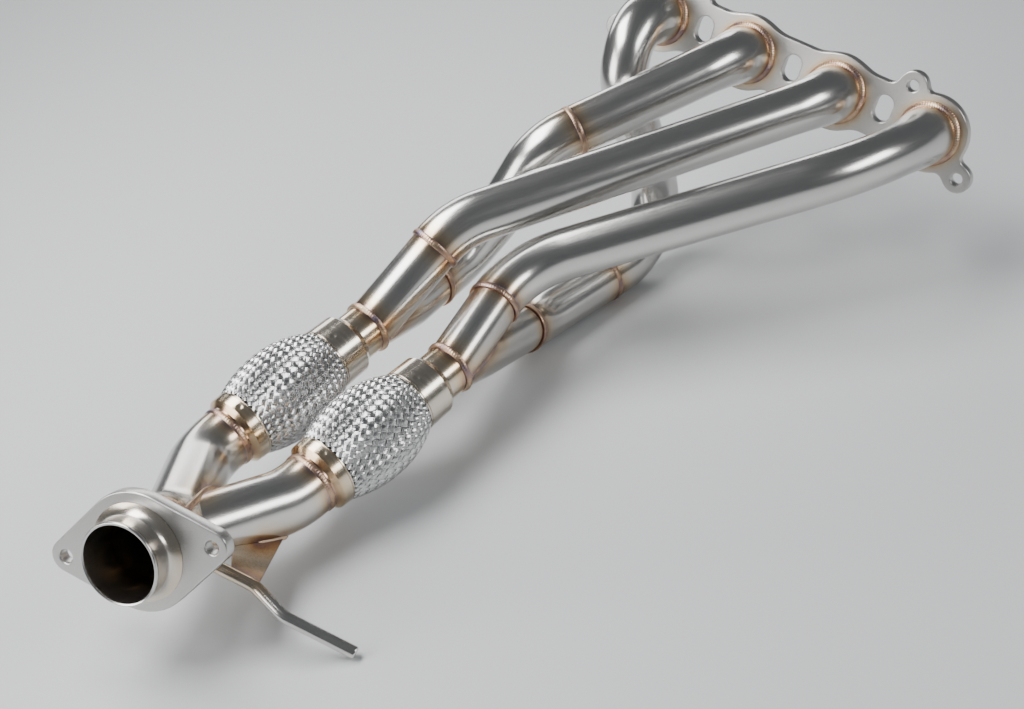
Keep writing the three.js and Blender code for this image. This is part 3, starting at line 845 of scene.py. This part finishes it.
def flare(s):
    t = np.clip((s - FLARE_START) / FLARE_LENGTH, 0, 1)
    return (PORT_END_OD - PRIMARY_OD) / 2 * (1 - t * t * (3 - 2 * t))


def primaries():
    half = BUTT_GAP / 2
    parts = [
        ("primary_1_upper", "1", GAP, WELDS["1"][0] - half),
        ("primary_1_lower", "1", WELDS["1"][0] + half, WELDS["1"][1] - half),
        ("primary_2_upper", "2", GAP, WELDS["2"][0] - half),
        ("primary_2_lower", "2", WELDS["2"][0] + half, WELDS["2"][1] - half),
        ("primary_3", "3", GAP, WELDS["3"][0] - half),
        ("primary_4", "4", GAP, WELDS["4"][0] - half),
    ]
    for node, key, start, end in parts:
        growth = flare if start < 1 else None
        tube(node + "_tube", ROUTES[key], start, end, PRIMARY_OD, BODY_UP, node, growth)
    for index, port in enumerate(PORTS):
        name = f"weld_port_{index + 1}"
        fillet_weld(name, port, HEAD_NORMAL, PORT_END_OD / 2, PORT_FILLET, BODY_UP)
    for key, distances in WELDS.items():
        for index, distance in enumerate(distances):
            point, tangent = ROUTES[key].station(distance)
            name = f"weld_primary_{key}_{index + 1}"
            butt_weld(name, point, tangent, PRIMARY_OD / 2, BODY_UP, floor=key == "1")


# ---- collectors ----
LEG_OVERRUN = 30


def saddle(name, route, ends, met, radius, body, width=2.2, nodes=()):
    """A bead where one tube runs into another, along the lines that met it."""
    path = route.surface(ends, turns(AROUND), radius)
    outward = units(path - route.station(ends)[0])
    order, gap = np.arange(AROUND), np.nonzero(~met)[0]
    if len(gap):
        order = np.roll(order, -(gap[-1] + 1))
        order = order[met[order]]
    return bead(
        name, path[order], outward[order], width, 0.8, 1.2, body, nodes, closed=not len(gap)
    )


def collector(side, main, branch):
    """The main leg ends at the flex coupling, and the branch leg where it meets the main one."""
    plane = before_plane(FLEX_INLETS[side] - FLEX_DIRECTION * GAP / 2, FLEX_DIRECTION)
    radius = LEG_OD / 2
    main_start = WELDS[main][-1] + BUTT_GAP / 2
    core = ROUTES[main].core(main_start, ROUTES[main].length + LEG_OVERRUN)
    near_main = outside_core(core, radius)

    def clearance(spots):
        return np.minimum(near_main(spots), plane(spots))

    for key, leg, limit in ((main, "main", plane), (branch, "branch", clearance)):
        start, reach = WELDS[key][-1] + BUTT_GAP / 2, ROUTES[key].length + LEG_OVERRUN
        ends, _ = first_crossing(ROUTES[key], radius, start, reach, limit)
        name = f"collector_{side}_{leg}"
        tube(f"{name}_tube", ROUTES[key], start, ends, LEG_OD, BODY_UP, f"{name}_leg")
    met = plane(ROUTES[branch].surface(ends, turns(AROUND), radius)) > 1.5
    saddle(f"collector_{side}_saddle_bead", ROUTES[branch], ends, met, radius, BODY_UP)


# ---- flex couplings ----
def bulge(along):
    middle, half = (BRAID_START + BRAID_END) / 2, (BRAID_END - BRAID_START) / 2
    t = (along - middle) / half
    end_radius = np.where(t < 0, BRAID_START_RADIUS, BRAID_END_RADIUS)
    return end_radius + (BRAID_MIDDLE_RADIUS - end_radius) * (1 - np.abs(t) ** 2.2)


CARRIERS = 32
WIRES = 5
BRAID_ANGLE = math.radians(42)
WEAVE_LIFT = 0.62
SAMPLES_PER_CROSSING = 6
RIBBON_SHARE = 0.46
RIBBON_CROWN = 0.26
RIBBON_UNDERSIDE = 0.42
WIRE_RIDGE = 0.12
BRAID_INSET = 0.95
FERRULE_AROUND = 180
PROFILE_STEP = 0.9
INNER_SLEEVE = 25.8
CRIMP_RADIUS = 3.2
CRIMP_DEPTH = 0.42
# A rolled lip: how far each point is sunk, and how far back from the rim it is.
ROLLED_LIP = [(0.75, 1.7), (0, 1.1), (0, 0.3), (0.35, 0)]


def braid_half(name, origin, start, end, bodies, blend_from, blend_to, node):
    """One half of a braid: two families of carriers, each a ribbon of side-by-side wires."""
    fine = np.linspace(BRAID_START, BRAID_END, 600)
    rate = math.tan(BRAID_ANGLE) / bulge(fine)
    wound = np.concatenate([[0], np.cumsum((rate[1:] + rate[:-1]) / 2 * np.diff(fine))])
    side = any_square(FLEX_DIRECTION)
    other = np.cross(FLEX_DIRECTION, side)
    turn_start, turn_end = np.interp([start, end], fine, wound)
    crossings = (turn_end - turn_start) * CARRIERS / math.pi
    count = int(crossings * SAMPLES_PER_CROSSING)
    turn = np.linspace(turn_start, turn_end, count)
    along = np.interp(turn, wound, fine)
    radius = bulge(along)
    slope = np.gradient(radius, along)
    weave = WEAVE_LIFT * np.cos(CARRIERS * turn)
    points, grain, faces = [], [], []
    across = np.linspace(-1, 1, 2 * WIRES + 1)
    ridges = WIRE_RIDGE * np.where(np.arange(2 * WIRES + 1) % 2, 1.0, -1.0)
    section_x = np.concatenate([across, [0.93, -0.93]])
    section_y = np.concatenate([ridges + RIBBON_CROWN * (1 - across**2), [-RIBBON_UNDERSIDE] * 2])
    width = 2 * math.pi * radius * math.cos(BRAID_ANGLE) / CARRIERS * RIBBON_SHARE
    columns = len(section_x)
    for way in (1, -1):
        for index in range(CARRIERS):
            angle = way * turn + 2 * math.pi * index / CARRIERS
            radial = np.cos(angle)[:, None] * side + np.sin(angle)[:, None] * other
            ring = np.cross(FLEX_DIRECTION, radial)
            ahead = units(FLEX_DIRECTION + slope[:, None] * radial)
            run = ahead * math.cos(BRAID_ANGLE) + way * ring * math.sin(BRAID_ANGLE)
            out = np.cross(ring, ahead) * -1
            out *= np.sign(np.sum(out * radial, axis=1))[:, None]
            sideways = np.cross(out, run)
            height = radius - BRAID_INSET + way * weave
            centre = origin + along[:, None] * FLEX_DIRECTION + height[:, None] * radial
            points.append(
                centre[:, None, :]
                + (section_x * width[:, None])[..., None] * sideways[:, None, :]
                + section_y[:, None] * out[:, None, :]
            )
            faces += capped_faces(count, columns, (len(points) - 1) * count * columns)
            steps = np.linalg.norm(np.diff(centre, axis=0), axis=1)
            length = np.concatenate([[0], np.cumsum(steps)])[:, None]
            # Each carrier takes its streaks from its own part of the noise.
            place = np.broadcast_arrays(length, section_x * 3 + index * 11, way * 7.0)
            grain.append(np.stack(place, -1))
    piece = new_piece(
        name, np.array(points), faces, WIRE, None, [node], np.array(grain)
    )
    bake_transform(piece)
    return piece


def to_metres(point):
    return tuple((point + FRAME_SHIFT) / 1000)


def dimples(places, radius, depth):
    """Round crimp marks with a raised rim: places are (distance along, angle round)."""

    def dent(r, along, turn):
        sunk = np.zeros_like(r)
        for place, angle in places:
            arc = (turn - angle + math.pi) % (2 * math.pi) - math.pi
            away = np.hypot(along - place, arc * r) / radius
            sunk += depth * np.exp(-((away / 0.62) ** 4))
            sunk -= 0.22 * depth * np.exp(-(((away - 1) / 0.25) ** 2))
        return sunk

    return dent


def line(a, b):
    """Profile points at even distances from a to b."""
    a, b = np.array(a), np.array(b)
    count = max(2, int(math.dist(a, b) / PROFILE_STEP))
    return [tuple(a * (1 - t) + b * t) for t in np.linspace(0, 1, count)]


def flex_coupling(side):
    inlet, node = FLEX_INLETS[side], f"flex_{side}_braid"
    stub, outlet = LEG_OD / 2, SECONDARY_OD / 2
    upward, seen_from = any_square(FLEX_DIRECTION), vec(-0.35, -0.45, 0.8)
    seen = math.atan2(np.cross(FLEX_DIRECTION, upward) @ seen_from, upward @ seen_from)
    marks = [seen + k * 2 * math.pi / 3 for k in range(3)]

    def shell(end, profile, rim_radius, crimped_at, body):
        """A ferrule with three crimp marks round its rim."""
        dent = dimples([(crimped_at, mark) for mark in marks], CRIMP_RADIUS, CRIMP_DEPTH)
        turned(
            f"flex_{side}_{end}_ferrule_shell", profile, inlet, FLEX_DIRECTION, FERRULE_STEEL,
            body, f"flex_{side}_{end}_ferrule", around=FERRULE_AROUND,
            dent=lambda r, a, t: np.where(r > rim_radius - 1.2, dent(r, a, t), 0),
        )

    rim, radius = BRAID_START - GAP, BRAID_START_RADIUS
    shoulder = (radius - 0.6, STUB_END + 7)
    skin = line((stub, GAP / 2), (stub, STUB_END)) + line((stub, STUB_END), shoulder)[1:]
    skin += line(shoulder, (radius, rim - 2.2))[1:]
    lip = [(radius - sunk, rim - back) for sunk, back in ROLLED_LIP]
    bore = [
        (INNER_SLEEVE, rim), (INNER_SLEEVE, STUB_END + 10),
        (stub - WALL, STUB_END + 3), (stub - WALL, GAP / 2),
    ]
    shell("inlet", skin + lip + bore, radius, BRAID_START - 9, BODY_UP)

    rim, radius = BRAID_END + GAP, BRAID_END_RADIUS
    shoulder = (radius - 0.6, FLEX_LENGTH - 8)
    lip = [(radius - sunk, rim + back) for sunk, back in reversed(ROLLED_LIP)]
    skin = line((radius, rim + 2.2), shoulder)
    skin += line(shoulder, (outlet, FLEX_LENGTH - 4))[1:]
    bore = [
        (outlet, FLEX_LENGTH - BUTT_GAP / 2), (outlet - WALL, FLEX_LENGTH - BUTT_GAP / 2),
        (outlet - WALL, FLEX_LENGTH - 7), (radius - 1.4, FLEX_LENGTH - 10), (radius - 1.4, rim),
    ]
    shell("outlet", lip + skin + bore, radius, BRAID_END + 6.3, BODY_DOWN)

    places = (BRAID_START, (BRAID_START + BRAID_END) / 2, BRAID_END)
    bodies = (BODY_UP, BODY_FLEX, BODY_DOWN)
    for k, half in enumerate(("upstream", "downstream")):
        start, end = places[k : k + 2]
        spots = [inlet + FLEX_DIRECTION * s for s in (start, end)]
        braid_half(f"{node}_{half}", inlet, start, end, bodies[k : k + 2], *spots, node)
    weld = f"weld_flex_{side}_"
    fillet_weld(weld + "inlet", inlet, FLEX_DIRECTION, stub, 3.6, BODY_UP, tilt=0.35)
    butt_weld(weld + "outlet", FLEX_OUTLETS[side], FLEX_DIRECTION, outlet, BODY_DOWN)


# ---- secondaries and merge ----
BAR_OVERRUN = 3


def swollen_bar(name, route, growth):
    """A secondary as a solid bar, larger all round by growth, that runs past its far end."""
    rows = int(route.length / ROW_LENGTH)
    s = np.linspace(0, route.length + BAR_OVERRUN, rows)[:, None] + 0 * turns(AROUND)
    radius = SECONDARY_OD / 2 + growth + swell(route, s)
    points = route.surface(s, turns(AROUND) + 0 * s, radius).reshape(-1, 3)
    mesh = bpy.data.meshes.new(name)
    mesh.from_pydata(points.tolist(), [], capped_faces(rows, AROUND))
    return added(name, mesh)


def swell(route, s):
    """How much wider a secondary is than its tube near the outlet."""
    t = np.clip((s - route.length + SWELL_LENGTH) / (SWELL_LENGTH - 6), 0, 1)
    return (OUTLET_RADIUS - SECONDARY_OD / 2) * t * t * (3 - 2 * t)


def downpipe():
    """Both secondaries, each cut by the other where they merge, and their welds."""
    outer, half = SECONDARY_OD / 2, BUTT_GAP / 2
    right, left = SECONDARY_ROUTES["right"], SECONDARY_ROUTES["left"]
    core_s = np.linspace(half, right.length, int(right.length))
    core = resampled(core_s, right.s, right.points)
    near_right = outside_core(core, outer + GAP + swell(right, core_s))
    ends, met = first_crossing(
        left, outer, half, left.length, near_right, lambda s: swell(left, s)
    )
    for name, route, tool in (
        ("secondary_left", left, swollen_bar("right_bar", right, GAP)),
        ("secondary_right", right, swollen_bar("left_bore", left, -WALL)),
    ):
        whole = tube(
            f"{name}_tube", route, half, route.length, SECONDARY_OD, BODY_DOWN, name,
            lambda distance, route=route: swell(route, distance),
        )
        cut_away(whole, tool, route)
    seam = met & (ends < left.length - 3)
    name, radius = "weld_merge_left", outer + swell(left, ends)
    saddle(f"{name}_bead", left, ends, seam, radius, BODY_DOWN, 2.6, [name])
    name, radius = "weld_outlet_flange", OUTLET_RADIUS + 0.2
    fillet_weld(name, OUTLET_BACK, OUTLET_INWARD, radius, 5.4, BODY_DOWN)


def cut_away(piece, tool, route):
    """Cuts a tool out of a piece that is in metres, and writes its grain again."""
    tool.data.transform(Matrix.Scale(0.001, 4))
    tool.data.transform(Matrix.Translation(Vector(FRAME_SHIFT) / 1000))
    material = piece.data.materials[0]
    modifier = piece.modifiers.new("cut", "BOOLEAN")
    modifier.operation, modifier.solver, modifier.object = "DIFFERENCE", "EXACT", tool
    graph = bpy.context.evaluated_depsgraph_get()
    mesh = bpy.data.meshes.new_from_object(piece.evaluated_get(graph))
    piece.modifiers.clear()
    piece.data = mesh
    bpy.data.objects.remove(tool)
    points = np.array([v.co for v in mesh.vertices]) * 1000 - FRAME_SHIFT
    dress(mesh, material, route.grain(points))


# ---- outlet ----
PLATE_ROUNDING = 1.0
LIP_TURNS = np.linspace(-0.6, 2.6, 10)


def outlet():
    """The spigot with its rolled lip and flared foot, and the oval flange."""
    outer, back = SPIGOT_OD / 2, SPIGOT_STANDING + OUTLET_PLATE
    inner = outer - WALL
    lip = [(outer + 0.15 + 0.85 * math.sin(a), 1.5 - 1.5 * math.cos(a)) for a in LIP_TURNS]
    foot = [
        (outer + 7 * t**2.2, SPIGOT_STANDING - 9 + (9 - GAP) * t) for t in np.linspace(0, 1, 9)
    ]
    turned(
        "outlet_spigot_tube",
        [(inner, 1.6), (inner + 0.35, 0.5), *lip, (outer, 4.2), *foot,
         (outer, SPIGOT_STANDING - GAP), (outer, back), (inner, back)],
        SPIGOT_MOUTH, OUTLET_INWARD, STEEL, BODY_DOWN, "outlet_spigot", around=144,
    )
    ear = EAR_SPACING / 2
    lean = math.asin((OVAL_RADIUS - EAR_RADIUS) / ear)

    def cone(sign):
        """Straight flanks tangent to the round body and one ear."""

        def distance(px, py):
            along, away = sign * px, np.abs(py)
            flank = away * math.cos(lean) + along * math.sin(lean) - OVAL_RADIUS
            behind = OVAL_RADIUS * math.sin(lean) - along
            ahead = along - ear - EAR_RADIUS * math.sin(lean)
            return np.maximum(np.maximum(flank, behind), ahead)

        return distance

    ears = [pad(side * ear, 0, EAR_RADIUS) for side in (1, -1)]
    shape = joined([pad(0, 0, OVAL_RADIUS), *ears, cone(1), cone(-1)], 0.01)
    holes = [pad(0, 0, outer + GAP / 2)]
    holes += [pad(side * ear, 0, BOLT_HOLE_RADIUS) for side in (1, -1)]
    plate(
        "outlet_flange_plate", pierced(shape, holes), (-80, -50), (80, 50), OUTLET_PLATE,
        OUTLET_CENTRE, OUTLET_ACROSS, OUTLET_INWARD, BODY_DOWN, "outlet_flange",
        PLATE_ROUNDING, PLATE_STEEL,
    )


# ---- hanger ----
GUSSET_THICKNESS = 3
GUSSET_SUNK = 3
GUSSET_UNDER = vec(-0.2, -0.2, -0.95)
GUSSET_ON_PIPE = (88, 126)
GUSSET_ON_ROD = (22, 44)
ROD_CORNERS = [
    vec(-271, -66.5, 65), vec(-256, -101, 45.5), vec(-256.5, -129, 31), vec(-235.5, -175.5, 4.2)
]
ROD_ROUTE = Route(ROD_CORNERS, [22, 22])
ROD_AROUND = 32
TIP_ROUNDING = 1.4


def rod():
    radius, length, soft = ROD_DIAMETER / 2, ROD_ROUTE.length, TIP_ROUNDING
    angles = turns(ROD_AROUND)
    profile = [(ROD_START, 0.01), (ROD_START, radius - 0.6), (ROD_START + 0.4, radius)]
    straight = np.linspace(ROD_START + 1.5, length - soft - 0.2, int(length / 2.5))
    profile += [(s, radius) for s in straight]
    for a in np.radians([0, 30, 60, 85]):
        profile.append((length - soft + soft * math.sin(a), radius - soft + soft * math.cos(a)))
    profile.append((length, 0.01))
    s, r = (column[:, None] + 0 * angles for column in np.array(profile).T)
    turn = angles + 0 * s
    grain = np.stack([s, radius * np.cos(turn), radius * np.sin(turn)], -1)
    new_piece(
        "hanger_rod_bar", ROD_ROUTE.surface(s, turn, r), capped_faces(len(s), ROD_AROUND),
        ROD_STEEL, BODY_DOWN, ["hanger_rod"], grain,
    )


def hanger():
    """The rod, the gusset between it and the right secondary, and their welds."""
    rod()
    radius = ROD_DIAMETER / 2
    pipe = SECONDARY_ROUTES["right"]
    pipe_near = pipe.station(pipe.length - GUSSET_ON_PIPE[0])[0]
    pipe_far, way = pipe.station(pipe.length - GUSSET_ON_PIPE[1])
    pipe_far = pipe_far + square_to(GUSSET_UNDER, way) * (SECONDARY_OD / 2 - GUSSET_SUNK)
    rod_near, rod_far = (ROD_ROUTE.station(s)[0] for s in GUSSET_ON_ROD)
    x_axis = unit(rod_far - rod_near)
    z_axis = unit(np.cross(x_axis, pipe_far - rod_near))
    y_axis = np.cross(z_axis, x_axis)

    def flat(point):
        return np.array([(point - rod_near) @ x_axis, (point - rod_near) @ y_axis])

    outline = [flat(p) for p in (rod_near, rod_far, pipe_far, pipe_near)]
    clear_of_pipe = outside_core(pipe.core(0, pipe.length), SECONDARY_OD / 2 + 0.2)
    clear_of_rod = outside_core(ROD_ROUTE.core(0, ROD_ROUTE.length), radius + 0.2)

    def field(px, py):
        inside = np.full(np.shape(px), -1e9)
        for a, b in zip(outline, outline[1:] + outline[:1]):
            edge = unit(b - a)
            inside = np.maximum(inside, (px - a[0]) * edge[1] - (py - a[1]) * edge[0])
        px, py = np.asarray(px)[..., None], np.asarray(py)[..., None]
        spots = rod_near + px * x_axis + py * y_axis
        return np.maximum(np.maximum(inside, -clear_of_pipe(spots)), -clear_of_rod(spots))

    plate(
        "hanger_gusset_plate", field, np.min(outline, axis=0) - 4, np.max(outline, axis=0) + 4,
        GUSSET_THICKNESS, rod_near - z_axis * GUSSET_THICKNESS / 2, x_axis, z_axis, BODY_DOWN,
        "hanger_gusset", 0.5, GUSSET_STEEL_HEAT_TINT_AND_PAINTED_SHADE,
    )

    def corner_welds(name, route, stations, bar_radius, toward):
        """A bead on each face of the gusset where it meets a round bar."""
        core, along = (np.array(x) for x in zip(*(route.station(s) for s in stations)))
        across = np.cross(along, z_axis)
        length = np.linalg.norm(across, axis=1, keepdims=True)
        across *= np.sign((toward - core[0]) @ across[0]) / length
        rise = np.cross(across, along)
        rise *= np.sign(rise @ z_axis)[:, None]
        for label, way in (("front", 1), ("back", -1)):
            height = ((rod_near - core) @ z_axis + way * GUSSET_THICKNESS / 2) / (rise @ z_axis)
            reach = np.sqrt(np.maximum(bar_radius**2 - height**2, 1))
            path = core + rise * height[:, None] + across * reach[:, None]
            outward = units(across + z_axis * way)
            bead(f"{name}_{label}", path, outward, 2.2, 1.1, 0.8, BODY_DOWN, [], closed=False)

    near, far = GUSSET_ON_PIPE
    on_pipe = np.linspace(pipe.length - far + 5, pipe.length - near - 5, 40)
    on_rod = np.linspace(GUSSET_ON_ROD[0] + 1, GUSSET_ON_ROD[1] - 1, 24)
    corner_welds("gusset_pipe_bead", pipe, on_pipe, SECONDARY_OD / 2, rod_far)
    corner_welds("gusset_rod_bead", ROD_ROUTE, on_rod, radius, pipe_far)
    foot, foot_way = ROD_ROUTE.station(ROD_START + 1.5)
    path, radial = circle(foot, foot_way, radius, 60)
    outward = (radial + foot_way) / math.sqrt(2)
    bead("rod_foot_bead", path, outward, 2.2, 1.3, 0.6, BODY_DOWN, [])


# ---- head flange ----
HEAD_RING = PORT_END_OD / 2 + 10
HEAD_EAR_RADIUS = 12
BAND_RADIUS = 27
WINDOW_RADIUS = 8.5


def head_flange():
    """A ring round each port, a band along them, and ears on webs, with windows and holes."""
    ports_x = [PORT_PITCH * i for i in range(4)]
    ears = {
        "first": (-39, -28), "last": (321, -28), "middle": (141, -30),
        "upper_first": (29, 34), "upper_last": (253, 34),
    }
    webs = [
        ("first", (0, -4), 10), ("last", (282, -4), 10), ("upper_first", (14, 14), 10),
        ("upper_first", (42, 14), 10), ("upper_last", (268, 14), 10),
        ("upper_last", (240, 14), 10), ("middle", (141, -8), 11),
    ]
    spots = [ears[k] for k in ("first", "last", "upper_first", "upper_last", "middle")]
    shapes = [pad(x, 0, HEAD_RING) for x in ports_x]
    shapes += [capsule((x, 2), (x + PORT_PITCH, 2), BAND_RADIUS) for x in ports_x[:-1]]
    shapes += [pad(x, y, HEAD_EAR_RADIUS) for x, y in spots]
    shapes += [capsule(ears[ear], foot, half) for ear, foot, half in webs]
    holes = [pad(x, 0, PORT_BORE / 2) for x in ports_x]
    holes += [pad(x, y, BOLT_HOLE_RADIUS) for x, y in spots]
    for x in ports_x[:-1]:
        middle = x + PORT_PITCH / 2
        holes.append(capsule((middle, 8.5), (middle, -0.5), WINDOW_RADIUS))
    plate(
        "head_flange_plate", pierced(joined(shapes, 7.0), holes), (-60, -50), (342, 55),
        HEAD_PLATE, FIRST_PORT - HEAD_NORMAL * HEAD_PLATE, PORT_LINE, HEAD_NORMAL, BODY_UP,
        "head_flange", PLATE_ROUNDING, PLATE_STEEL,
    )


def heat_tint():
    """Writes each vertex's distance from the nearest weld, as a share of HEAT_REACH."""
    tree = KDTree(len(weld_points))
    for index, point in enumerate(weld_points):
        tree.insert(Vector(to_metres(point)), index)
    tree.balance()
    for piece in heated:
        distance = [tree.find(v.co)[2] * 1000 / HEAT_REACH for v in piece.data.vertices]
        layer = piece.data.attributes.new("weld_distance", "FLOAT", "POINT")
        layer.data.foreach_set("value", np.clip(distance, 0, 1.2))


primaries()
collector("right", "4", "1")
collector("left", "3", "2")
flex_coupling("right")
flex_coupling("left")
downpipe()
outlet()
hanger()
head_flange()
heat_tint()

for name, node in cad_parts.items():
    if node.hide_render:
        continue
    node.data.materials.clear()
    node.data.materials.append(LINER_METAL if name.endswith("liner") else BELLOWS_METAL)


# ---- floor, light and camera ----
FLOOR_REACH = 6.0
# Each lamp's place, the point it faces, its width and height in metres, and its power.
LAMPS = {
    "softbox_top": ((-0.35, 0.55, 1.5), (0.05, 0.0, 0.1), 1.5, 0.7, 36),
    "softbox_left": ((-1.6, 0.7, 0.9), (0, 0, 0.1), 1.0, 1.0, 20),
    "softbox_front": ((0.7, -1.6, 1.0), (0, 0, 0.1), 1.2, 0.5, 15),
    "softbox_back": ((1.3, 1.7, 0.9), (0, 0, 0.1), 2.0, 0.6, 16),
}
CAMERA_PLACE = Vector((-0.79075, -0.87517, 0.7505))
CAMERA_FORWARD = Vector((0.570318, 0.647708, -0.505185))
CAMERA_UP = Vector((0.459092, 0.25865, 0.849903))
CAMERA_LENS = 57.66


def studio():
    floor_mesh = bpy.data.meshes.new("floor")
    corners = [(x, y, 0) for x, y in ((-1, -1), (1, -1), (1, 1), (-1, 1))]
    corners = [[FLOOR_REACH * x for x in corner] for corner in corners]
    floor_mesh.from_pydata(corners, [], [(0, 1, 2, 3)])
    floor = added("floor", floor_mesh)
    floor.location.z = -0.0002
    material = bpy.data.materials.new("studio_floor")
    material.use_nodes = True
    surface = material.node_tree.nodes["Principled BSDF"]
    surface.inputs["Base Color"].default_value = (0.62, 0.63, 0.64, 1)
    surface.inputs["Roughness"].default_value = 0.5
    floor_mesh.materials.append(material)

    world = bpy.data.worlds.new("studio")
    bpy.context.scene.world = world
    world.use_nodes = True
    back = world.node_tree.nodes["Background"]
    back.inputs["Color"].default_value = (0.75, 0.78, 0.82, 1)
    back.inputs["Strength"].default_value = 0.17

    for name, (place, aim, width, height, power) in LAMPS.items():
        data = bpy.data.lights.new(name, "AREA")
        data.shape = "RECTANGLE"
        data.size, data.size_y = width, height
        data.energy = power
        lamp = added(name, data)
        lamp.location = place
        lamp.rotation_mode = "QUATERNION"
        lamp.rotation_quaternion = (Vector(aim) - Vector(place)).to_track_quat("-Z", "Y")


def camera():
    """The photograph's own viewpoint."""
    forward = CAMERA_FORWARD.normalized()
    right = forward.cross(CAMERA_UP).normalized()
    up = right.cross(forward)
    data = bpy.data.cameras.new("camera")
    data.lens, data.sensor_width = CAMERA_LENS, 36
    data.clip_start, data.clip_end = 0.05, 50
    made = added("camera", data)
    turn = Matrix((right, up, -forward)).transposed().to_4x4()
    turn.translation = CAMERA_PLACE
    made.matrix_world = turn
    bpy.context.scene.camera = made


studio()
camera()
